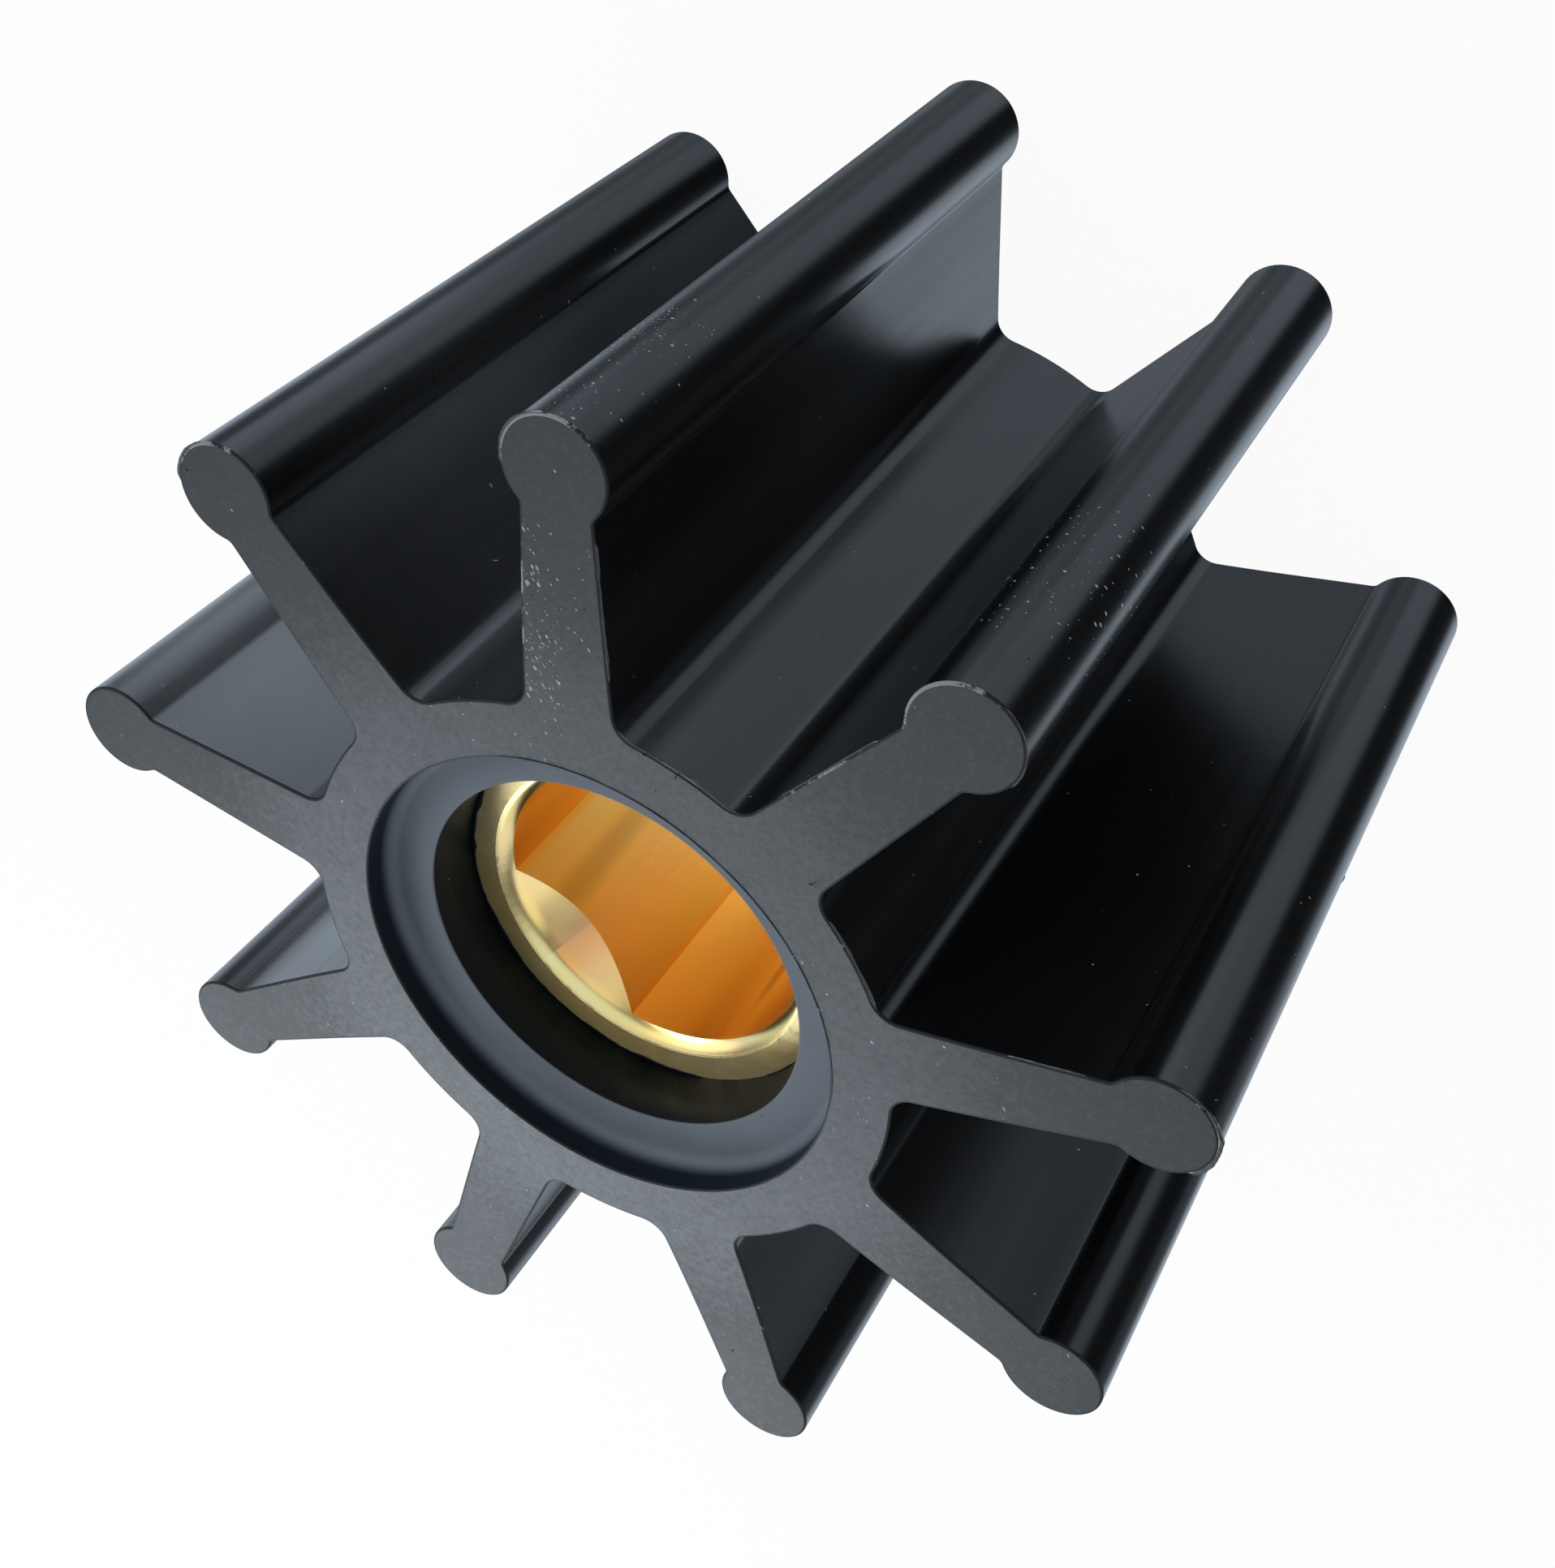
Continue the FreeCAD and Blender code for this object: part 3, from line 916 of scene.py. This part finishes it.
    def patches(self) -> list[Patch]:
        """Build every surface. The counterbore's rim is trimmed, and the bore starts below it."""
        made = self.wall()
        inner = self.seat_radius + self.edge + self.support
        bore = self.bore_profile()
        rim = self.edge_points
        for end in (1, -1):
            angles, vanes, ring = self.face_parts(end)
            radii = np.linspace(ring, inner, self.ring_rows)
            face = np.stack([radii, np.full_like(radii, end * self.half_width)], -1)
            made.append(Patch(self.around(face, angles), Finish.FACE, wraps=True, flipped=end < 0))
            made += [Patch(grid, Finish.FACE, flipped=end > 0) for grid in vanes]
            rows = np.concatenate([[[inner, self.half_width]], bore]) * np.array([1, end])
            for profile, finish in ((rows[:rim + 1], Finish.EDGE), (rows[rim:], Finish.BORE)):
                made.append(Patch(self.around(profile, angles), finish, wraps=True, flipped=end < 0))
        ledge = np.array([[self.insert_radius, self.insert_level]])
        column = self.around(np.concatenate([ledge, self.key_profile()]), self.face_parts(1)[0])
        last = self.around(ledge * np.array([1, -1]), self.face_parts(-1)[0])
        made.append(Patch(np.concatenate([column, last]), wraps=True))
        return made


@dataclass(frozen=True)
class FlashRun:
    """A stretch of thin flash along an end face's outline, anticlockwise from one place to another."""

    start: tuple[float, float]
    end: tuple[float, float]
    width: float
    seed: int
    face: int = 1


@dataclass
class Flash:
    """The thin fins that the mould's joint left along the edges of the end faces.

    An uneven width has one value for so many steps, and so has the sag.
    """

    moulding: Moulding
    level: float = 31.67
    root: float = 0.2
    thickness: float = 0.07
    step: float = 0.1
    fade: float = 1.2
    sag: float = 0.05
    least_width: float = 0.25
    steps_per_width: int = 24
    steps_per_sag: int = 30
    runs: tuple[FlashRun, ...] = (
        FlashRun((5.2, -46.6), (10.5, -44.6), 0.34, 3),
        FlashRun((-41.0, 18.4), (-43.4, 11.2), 0.42, 5),
        FlashRun((-24.9, -41.2), (-17.5, -38.6), 0.16, 7),
        FlashRun((-41.6, -11.0), (-44.6, -17.2), 0.12, 9),
        FlashRun((-22.3, -11.7), (-14.3, -20.8), 0.42, 11),
        FlashRun((-24.7, 4.6), (-24.9, -3.9), 0.2, 13),
        FlashRun((-38.5, 10.6), (-32.0, 8.2), 0.14, 15),
        FlashRun((-16.25, -22.95), (-22.2, -33.3), 0.2, 21),
        FlashRun((-35.8, -15.7), (-25.4, -12.0), 0.15, 23),
        FlashRun((38.0, 17.0), (30.0, 26.0), 0.25, 17, -1),
        FlashRun((-20.0, 42.0), (-26.5, 39.5), 0.3, 19, -1),
    )

    def fin(self, run: FlashRun) -> Patch:
        """Build one fin: a thin wedge along the outline, whose edge stands out by an uneven width.

        Its section has four corners, the root's two in the rubber and the edge's two outside. Width and
        thickness both fade to nothing at the ends, so it closes there.

        Args:
            run: where it is.

        Returns:
            The fin.
        """
        line, away = self.moulding.outline(self.level, self.step)
        first, last = (int(np.argmin(np.hypot(*(line - place).T))) for place in (run.start, run.end))
        index = np.arange(first, first + (last - first) % len(line) + 1) % len(line)
        line, away = line[index], away[index]
        count = len(index)
        place = np.arange(count) * self.step
        fade = closing(np.minimum(place, place[::-1]) / self.fade)
        uneven = ragged(count, run.seed, max(2, count // self.steps_per_width))
        width = run.width * (self.least_width + (1 - self.least_width) * uneven)
        uneven = ragged(count, run.seed + 1, max(2, count // self.steps_per_sag))
        sag = self.sag * (uneven - 0.5) * fade
        thick = self.thickness * fade
        out = -self.root + (self.root + width) * fade
        root = np.full(count, -self.root)
        corners = [(root, thick / 2), (out, thick / 4 - sag), (out, -thick / 4 - sag), (root, -thick / 2)]
        rows = []
        for reach, rise in corners + corners[:1]:
            flat = line + away * reach[:, None]
            rows.append(np.concatenate([flat, run.face * (self.level + rise)[:, None]], -1))
        return Patch(np.stack(rows), flipped=run.face > 0)

    def patches(self) -> list[Patch]:
        """Build every fin."""
        return [self.fin(run) for run in self.runs]


@dataclass
class RubberFilm:
    """The ragged film of rubber that crept over the outer edge of the brass while it was moulded."""

    outer: float = 16.0
    mouth: float = 15.9
    level: float = 23.75
    height: float = 0.04
    sunk: float = 0.02
    bevel: float = 0.12
    least: float = 0.05
    extra: float = 0.42
    thinning: float = 1.6
    steps: int = 900
    coarse: int = 22
    seeds: tuple[int, int] = (31, 37)

    def ring(self, end: int, seed: int) -> Patch:
        """Build the film of one end.

        Its inner radius is the mouth's less an uneven reach, and its section is a low wedge.

        Args:
            end: 1 for the front and -1 for the rear.
            seed: which uneven run it has.

        Returns:
            The film.
        """
        uneven = ragged(self.steps, seed, self.coarse, closed=True)
        reach = self.least + self.extra * uneven**self.thinning
        inner = self.mouth - reach
        corners = [(self.outer, -self.sunk), (self.outer, self.height),
                   (inner + self.bevel, 0.7 * self.height), (inner, -self.sunk)]
        turn = full_turn(self.steps)
        rows = [rounded(radius, turn, end * (self.level + rise)) for radius, rise in corners + corners[:1]]
        return Patch(np.stack(rows), wraps=True, flipped=end < 0)

    def patches(self) -> list[Patch]:
        """Build the film of both ends."""
        return [self.ring(end, seed) for end, seed in zip((1, -1), self.seeds)]


@dataclass
class RimLip:
    """The low lip left round part of the counterbore's rim where its plug met the mould.

    Its strength goes from least to 1 along it, and it fades out over a share of its length at each end.
    """

    radius: float = 20.06
    level: float = 31.75
    height: float = 0.07
    half_width: float = 0.05
    waver: float = 0.05
    from_deg: float = 142.0
    to_deg: float = 262.0
    fade: float = 0.1
    least: float = 0.35
    steps: int = 420
    coarse: tuple[int, int] = (16, 9)
    seeds: tuple[int, int] = (41, 43)

    def patches(self) -> list[Patch]:
        """Build the lip: a round bead, half sunk, that wavers and fades to nothing at its ends."""
        turn = np.radians(np.linspace(self.from_deg, self.to_deg, self.steps))
        share = np.linspace(0, 1, self.steps)
        uneven = ragged(self.steps, self.seeds[0], self.coarse[0])
        wavering = ragged(self.steps, self.seeds[1], self.coarse[1])
        strength = closing(np.minimum(share, 1 - share) / self.fade)
        strength = strength * (self.least + (1 - self.least) * uneven)
        middle = self.radius + self.waver * (wavering - 0.5)
        rows = []
        for angle in np.radians([180.0, 135.0, 90.0, 45.0, 0.0, -90.0, -180.0]):
            radius = middle + self.half_width * math.cos(angle) * strength
            rows.append(rounded(radius, turn, self.level + self.height * math.sin(angle) * strength))
        return [Patch(np.stack(rows), flipped=True)]


@dataclass(frozen=True)
class Whisker:
    """A hair of rubber: where it grows, which way it points and how far it curls.

    Its taper gives the share of the radius at each ring. Aside is a direction that no hair has.
    """

    root: Point
    way: Point
    curl: Point
    length: float
    radius: float = 0.05
    taper: tuple[float, ...] = (0.0, 1.0, 0.95, 0.9, 0.8, 0.7, 0.55, 0.4, 0.0)
    sides: int = 5
    aside: Point = (0.3, 0.2, 1.0)

    def patch(self) -> Patch:
        """Build the hair.

        A point is root + way times s + curl times s squared, and a ring stands round it, thinner towards
        the tip and closed at both ends.

        Returns:
            The hair's skin.
        """
        share = np.linspace(0, 1, len(self.taper))[:, None]
        way, curl = np.array(self.way), np.array(self.curl)
        middle = np.array(self.root) + self.length * (way * share + curl * share**2)
        along = way + 2 * curl * share
        side = np.cross(along, self.aside)
        side /= np.linalg.norm(side, axis=1)[:, None]
        above = np.cross(side, along)
        above /= np.linalg.norm(above, axis=1)[:, None]
        turn = full_turn(self.sides)
        thick = self.radius * np.array(self.taper)
        ring = side[:, None, :] * np.cos(turn)[:, None] + above[:, None, :] * np.sin(turn)[:, None]
        return Patch(middle[:, None, :] + ring * thick[:, None, None], wraps=True, flipped=True)


@dataclass
class Crumbs:
    """Crumbs of rubber and lint that lie on the end face, on the counterbore's floor and on heads."""

    moulding: Moulding
    on_face: tuple[tuple[float, float], ...] = (
        (-44.8, 12.9), (-44.9, 13.5), (-40.7, 10.7), (-40.4, 10.9), (-41.5, 13.6), (3.5, -39.9),
        (-18.6, -28.5), (-15.0, -30.3), (29.9, 2.6), (8.0, 37.0), (-16.2, -14.9), (-24.5, -8.6),
    )
    on_floor: tuple[tuple[float, float], ...] = ((-6.1, 15.2), (-14.9, 9.8), (15.2, 8.4))
    on_heads: tuple[tuple[int, float, float], ...] = (
        (6, 240.8, 17.1), (6, 222.7, 17.3), (6, 251.9, 18.9), (6, 229.0, 11.0), (5, 227.0, 17.2),
        (5, 211.6, 27.0), (5, 254.7, 22.5), (4, 212.1, 23.7), (5, 240.0, 8.0), (4, 205.0, -4.0),
    )
    face_level: float = 31.75
    floor_level: float = 28.9
    size: float = 0.052
    lumps: tuple[float, float] = (0.35, 0.25)
    rings: int = 6
    sides: int = 8
    seed: int = 53

    def places(self) -> list[np.ndarray]:
        """List the crumbs' centres. On a head it is the head's axis plus its radius in the bearing."""
        made = [np.array([x, y, self.face_level]) for x, y in self.on_face]
        made += [np.array([x, y, self.floor_level]) for x, y in self.on_floor]
        for vane, bearing, level in self.on_heads:
            axis = self.moulding.bent(np.array([self.moulding.head_centre, 0.0]), vane)
            flat = axis + self.moulding.head_radius * rays(np.array(math.radians(bearing)))
            made.append(np.array([*flat, level]))
        return made

    def patches(self) -> list[Patch]:
        """Build the crumbs: small balls whose radius is uneven over two angles."""
        draw = np.random.default_rng(self.seed)
        made = []
        tall, wide = np.meshgrid(np.linspace(0, math.pi, self.rings), full_turn(self.sides), indexing="ij")
        way = np.stack([np.sin(tall) * np.cos(wide), np.sin(tall) * np.sin(wide), np.cos(tall)], -1)
        for place in self.places():
            lump = 1 + self.lumps[0] * np.sin(2 * wide + 6 * draw.random()) * np.sin(tall)
            lump = lump + self.lumps[1] * np.sin(3 * tall + 6 * draw.random()) * np.sin(tall)
            scale = self.size * (0.5 + draw.random()) * np.array([1.0, 0.6 + 0.5 * draw.random(), 0.8])
            ball = turned(way * lump[..., None] * scale, 6 * draw.random())
            made.append(Patch(ball + place, wraps=True, flipped=True))
        return made


class Impeller:
    """The whole impeller: the moulding, the insert's finish and what lies on them."""

    def __init__(self, nodes: dict[str, bpy.types.Object]) -> None:
        """Keep the frame's nodes and name the finishes."""
        self.nodes = nodes
        self.moulding = Moulding()
        lint = (Spot((-22.0, -41.7, 20.0), 7.0, 0.35), Spot((-23.0, -41.5, 28.0), 6.0, 0.2),
                Spot((-22.3, -41.8, 19.0), 4.0, 0.4), Spot((-43.5, -17.5, 18.0), 12.0, 0.14))
        # Walls painted paler as painted sheen, for the bright light on that side.
        painted_sheen_walls = (Spot((28.0, -26.0, 12.0), 36.0, 1.0), Spot((32.0, -4.0, 12.0), 22.0, 0.25))
        strokes = (Spot((-11.2, -24.7, 31.75), 3.4, 0.8), Spot((-13.2, -28.1, 31.75), 3.4, 0.9),
                   Spot((-15.4, -31.5, 31.75), 3.2, 0.6), Spot((-17.0, -34.1, 31.75), 3.0, 0.3),
                   Spot((-17.0, -30.5, 31.75), 10.0, 0.05), Spot((-8.0, -22.0, 31.75), 9.0, 0.05),
                   Spot((-21.0, 8.0, 31.75), 16.0, 0.02))
        # Places where the edges' painted highlight is strongest.
        painted_highlight_spots = (Spot((-22.0, -41.5, 31.75), 6.0, 0.9), Spot((-14.0, -30.0, 31.75), 7.0, 0.45),
                Spot((-40.5, -18.5, 31.75), 5.5, 0.8), Spot((6.5, -46.0, 31.75), 4.5, 0.6),
                Spot((-30.0, -14.0, 31.75), 7.0, 0.4), Spot((-20.0, 0.0, 31.75), 9.0, 0.2))
        self.skin = RubberFinish(
            "moulded_rubber", (0.0038, 0.0042, 0.0048), (0.18, 0.2, 0.222), roughness=0.24, gloss=0.9,
            grain=0.003, speck_share=0.002, streaks=0.12, painted_sheen_spots=painted_sheen_walls, dust=lint)
        self.ends = RubberFinish(
            "end_face_rubber", (0.018, 0.0215, 0.026), (0.041, 0.049, 0.058), roughness=0.52, gloss=0.45,
            grain=0.018, speck_share=0.004, ring_rub=0.75, wear_and_painted_light_rough=-0.16, dust=strokes)
        self.bore = RubberFinish(
            "bore_rubber", (0.010, 0.018, 0.027), (0.2, 0.235, 0.27), roughness=0.42, gloss=0.09,
            grain=0.006, speck_share=0.001, shelf_painted_light=0.9)
        self.edges = TrimmedFinish("trimmed_rubber", (0.010, 0.012, 0.014), (0.38, 0.39, 0.405), painted_highlight_spots)
        self.brass = BrassFinish()
        self.whiskers = (
            Whisker((-16.9, -17.5, 31.74), (-0.5, -0.62, 0.55), (0.25, -0.2, 0.0), 1.0),
            Whisker((-18.4, -15.6, 31.74), (-0.66, -0.4, 0.55), (0.1, 0.3, 0.1), 1.1),
            Whisker((-24.2, -6.2, 31.7), (-0.95, -0.1, 0.25), (0.0, 0.35, 0.1), 1.3),
            Whisker((-45.9, 12.6, 31.7), (-0.9, -0.1, 0.4), (0.2, -0.3, 0.0), 0.6, 0.04),
            Whisker((8.9, -45.4, 31.7), (0.3, -0.85, 0.45), (0.3, 0.0, 0.0), 0.7, 0.04),
            Whisker((-13.9, -33.2, 31.7), (0.9, 0.0, 0.1), (0.0, -0.3, 0.0), 0.6, 0.04),
        )

    def build(self) -> None:
        """Make the pieces and dress the insert."""
        looks = (self.skin, self.ends, self.edges, self.bore)
        skin, ends, edges, bore = (look.make() for look in looks)
        rubber = make_piece("rubber_moulding", self.moulding.patches(), (skin, ends, edges, bore))
        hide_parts("rubber_impeller")
        make_piece("end_flash", Flash(self.moulding).patches(), (skin,))
        make_piece("insert_film", RubberFilm().patches(), (bore,))
        make_piece("rim_lip", RimLip().patches(), (edges,))
        make_piece("whiskers", [hair.patch() for hair in self.whiskers], (skin,))
        make_piece("crumbs", Crumbs(self.moulding).patches(), (edges,))
        insert = self.nodes["brass_insert"]
        insert.data.materials.clear()
        insert.data.materials.append(self.brass.make())


@dataclass
class Softbox:
    """A square light that faces the part: its place, side and level."""

    name: str
    place: Point
    side: float
    level: float
    colour: Colour = (1.0, 1.0, 1.0)

    def make(self) -> None:
        """Hang the light, at a power that gives a white card facing it at the part this level."""
        distance = Vector(self.place).length
        lamp = bpy.data.lights.new(self.name, "AREA")
        lamp.shape = "SQUARE"
        lamp.size = self.side * MM
        lamp.color = self.colour
        lamp.energy = self.level * math.pi**2 * (distance * MM) ** 2
        made = bpy.data.objects.new(self.name, lamp)
        made.location = Vector(self.place) * MM
        made.rotation_mode = "QUATERNION"
        made.rotation_quaternion = Vector(self.place).to_track_quat("Z", "Y")
        made.visible_camera = False
        bpy.context.scene.collection.objects.link(made)


@dataclass(frozen=True)
class Sheet:
    """A sheet of card round the part: its bearing, half width with soft sides, tone and lower edge."""

    bearing_deg: float
    core_deg: float
    reach_deg: float
    level: float
    lowest_deg: float = -90.0


@dataclass(frozen=True)
class Card:
    """A round card that mirrored rays see above the part: its bearing, rise, soft edge and colour."""

    bearing_deg: float
    rise_deg: float
    core_deg: float
    reach_deg: float
    colour: Colour

    def way(self) -> Point:
        """Give the direction of its middle."""
        turn, rise = math.radians(self.bearing_deg), math.radians(self.rise_deg)
        return math.cos(turn) * math.cos(rise), math.sin(turn) * math.cos(rise), math.sin(rise)


@dataclass
class Studio:
    """Floor, light and camera."""

    floor_level: float = -31.75
    floor_side: float = 2400.0
    paper: Colour = (0.93, 0.93, 0.93)
    white_share: float = 0.95
    ambient: Colour = (0.32, 0.33, 0.35)
    ceiling: Colour = (0.15, 0.155, 0.165)
    card_level: float = 0.5
    card_colour: Colour = (0.77, 0.91, 1.05)
    # A glowing disc of paper under the part, no lamp, that shines into the bore from behind.
    glow_radius: float = 15.5
    glow_level: float = 1.4
    sheets_below: tuple[float, float] = (0.68, 0.42)
    ceiling_above: tuple[float, float] = (0.85, 0.96)
    sheet_edge: float = 0.06
    sheets: tuple[Sheet, ...] = (
        Sheet(88.0, 20.0, 34.0, 1.0),
        Sheet(152.0, 28.0, 46.0, 0.03),
        Sheet(114.0, 12.0, 26.0, 0.2, -46.0),
        Sheet(226.0, 14.0, 34.0, 0.6),
        Sheet(262.0, 6.0, 20.0, 0.3),
        Sheet(300.0, 10.0, 26.0, 0.2),
        Sheet(5.0, 15.0, 40.0, 0.22),
        Sheet(262.0, 12.0, 28.0, 1.0, -46.0),
        Sheet(345.0, 14.0, 30.0, 1.0, -46.0),
    )
    cards: tuple[Card, ...] = (
        Card(27.0, 47.0, 8.0, 17.0, (1.0, 1.0, 1.0)),
        Card(318.0, 50.0, 11.0, 24.0, (1.5, 1.43, 1.25)),
        Card(48.0, 45.0, 5.0, 15.0, (0.85, 0.85, 0.85)),
        Card(70.0, 34.0, 9.0, 22.0, (0.9, 0.9, 0.9)),
        Card(132.0, 33.0, 16.0, 27.0, (1.0, 1.0, 1.0)),
        Card(192.0, 43.0, 9.0, 20.0, (1.0, 0.66, 0.48)),
        Card(222.0, 48.0, 8.0, 20.0, (0.9, 0.86, 0.8)),
    )
    aim: Point = (-2.10, -8.68, -5.48)
    distance: float = 171.94
    upright_vane_deg: float = 240.0
    climb_deg: float = 35.13
    swing_deg: float = 27.70
    roll_deg: float = -0.38
    focal_pixels: float = 2509.3
    centre_pixel: tuple[float, float] = (981.7, 765.5)
    frame_pixels: tuple[int, int] = (1916, 1932)
    boxes: tuple[Softbox, ...] = (
        Softbox("key", (180.0, -420.0, 380.0), 300.0, 0.3),
        Softbox("face", (327.0, 204.0, 140.0), 300.0, 0.58, (0.84, 0.94, 1.0)),
        Softbox("back", (-300.0, 330.0, 120.0), 260.0, 0.15),
    )

    def floor(self) -> None:
        """Lay the pale floor, which mirrored rays pass, so that rubber and brass show the studio below too.

        The round middle, which the impeller hides, is a glowing disc, no lamp, that shines into the bore
        from behind.
        """
        material, nodes = new_material("paper_floor")
        card = nodes.add("ShaderNodeBsdfDiffuse", inputs={"Color": self.paper})
        glow = nodes.add("ShaderNodeEmission", inputs={"Color": (1.0, 1.0, 1.0), "Strength": 1.0})
        clear = nodes.add("ShaderNodeBsdfTransparent")
        path = nodes.add("ShaderNodeLightPath")
        seen = nodes.wire(path, "Is Camera Ray") * self.white_share
        paper = nodes.add("ShaderNodeMixShader", inputs={0: seen, 1: card.outputs[0], 2: glow.outputs[0]})
        passed = nodes.wire(path, "Is Glossy Ray")
        mixed = nodes.add("ShaderNodeMixShader",
                          inputs={0: passed, 1: paper.outputs[0], 2: clear.outputs[0]})
        nodes.add("ShaderNodeOutputMaterial", inputs={"Surface": mixed.outputs[0]})
        glowing, nodes = new_material("glowing_paper")
        glow = nodes.add("ShaderNodeEmission",
                         inputs={"Color": (1.0, 1.0, 1.0), "Strength": self.glow_level})
        nodes.add("ShaderNodeOutputMaterial", inputs={"Surface": glow.outputs[0]})
        turn = full_turn(96)
        radii = (0.01, self.glow_radius, self.floor_side / 2)
        rings = np.stack([rounded(radius, turn, self.floor_level) for radius in radii])
        sheet = Patch(rings, wraps=True, flipped=True)
        mesh = bpy.data.meshes.new("floor")
        mesh.from_pydata((sheet.points.reshape(-1, 3) * MM).tolist(), [], sheet.quads(0).tolist())
        for finish in (material, glowing):
            mesh.materials.append(finish)
        mesh.polygons.foreach_set("material_index", np.repeat([1, 0], len(turn)).astype(np.int32))
        made = bpy.data.objects.new("floor", mesh)
        bpy.context.scene.collection.objects.link(made)

    def world(self) -> None:
        """Surround the part with white for the camera and soft grey light for everything else.

        Mirrored rays that head down or out see sheets of card, pale and dark. A sheet is a range of cosines
        between the ray's level direction and the sheet's bearing. Rays that head up see round cards.
        """
        world = bpy.data.worlds.new("studio")
        world.use_nodes = True
        bpy.context.scene.world = world
        nodes = Nodes(world.node_tree)
        ray = nodes.add("ShaderNodeTexCoord").outputs["Generated"]
        east, north, up = nodes.parts(ray)
        level = (east * east + north * north).most(1e-6) ** 0.5
        tone: Value = self.card_level
        for sheet in self.sheets:
            turn = math.radians(sheet.bearing_deg)
            heading = (east * math.cos(turn) + north * math.sin(turn)) / level
            inside = heading.ramp(cosine(sheet.reach_deg), cosine(sheet.core_deg))
            if sheet.lowest_deg > -90.0:
                edge = math.sin(math.radians(sheet.lowest_deg))
                inside = inside * up.ramp(edge - self.sheet_edge, edge + self.sheet_edge)
            tone = tone * (1.0 - inside) + inside * sheet.level
        below = up.ramp(*self.sheets_below)
        overhead = up.ramp(*self.ceiling_above)
        seen = nodes.mix(tone, (0.0, 0.0, 0.0), self.card_colour)
        path = nodes.add("ShaderNodeLightPath")
        mirrored = nodes.wire(path, "Is Glossy Ray").most(nodes.wire(path, "Is Transmission Ray"))
        seen = nodes.mix(below, nodes.mix(overhead, self.ceiling, self.card_colour), seen)
        for card in self.cards:
            facing = nodes.add("ShaderNodeVectorMath", {"operation": "DOT_PRODUCT"},
                               {0: ray, 1: card.way()})
            near = nodes.wire(facing, "Value").ramp(cosine(card.reach_deg), cosine(card.core_deg))
            seen = nodes.mix(near, seen, card.colour)
        colour = nodes.mix(mirrored, self.ambient, seen)
        colour = nodes.mix(nodes.wire(path, "Is Camera Ray"), colour, (1.0, 1.0, 1.0))
        back = nodes.add("ShaderNodeBackground", inputs={"Color": colour, "Strength": 1.0})
        nodes.add("ShaderNodeOutputWorld", inputs={"Surface": back.outputs[0]})

    def camera(self) -> None:
        """Stand where the photographer stood, with the impeller lying on its side and one vane upright."""
        turn = math.radians(self.upright_vane_deg)
        up = Vector((math.cos(turn), math.sin(turn), 0.0))
        inward = Vector((0.0, 0.0, -1.0))
        look = Matrix.Rotation(math.radians(self.swing_deg), 3, up) @ inward
        right = look.cross(up).normalized()
        look = Matrix.Rotation(math.radians(-self.climb_deg), 3, right) @ look
        right = Matrix.Rotation(math.radians(self.roll_deg), 3, look) @ right
        above = right.cross(look)
        stand = Matrix((right, above, -look)).transposed()
        lens = bpy.data.cameras.new("camera")
        wide, high = self.frame_pixels
        lens.sensor_width = 36.0
        lens.lens = self.focal_pixels / high * lens.sensor_width
        lens.shift_x = (wide / 2 - self.centre_pixel[0]) / high
        lens.shift_y = (self.centre_pixel[1] - high / 2) / high
        lens.clip_start = 0.01
        made = bpy.data.objects.new("camera", lens)
        place = (Vector(self.aim) - self.distance * look) * MM
        made.matrix_world = Matrix.Translation(place) @ stand.to_4x4()
        bpy.context.scene.collection.objects.link(made)
        bpy.context.scene.camera = made

    def build(self) -> None:
        """Set up everything round the part."""
        self.floor()
        self.world()
        for box in self.boxes:
            box.make()
        self.camera()
        bpy.context.scene.view_settings.view_transform = "Standard"


def main() -> None:
    """Load the frame, build the looks and note the sizes."""
    logging.basicConfig(level=logging.INFO, format="%(name)s %(message)s")
    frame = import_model()
    Impeller(frame["nodes"]).build()
    Studio().build()
    bpy.context.view_layer.update()


if __name__ == "__main__":
    main()
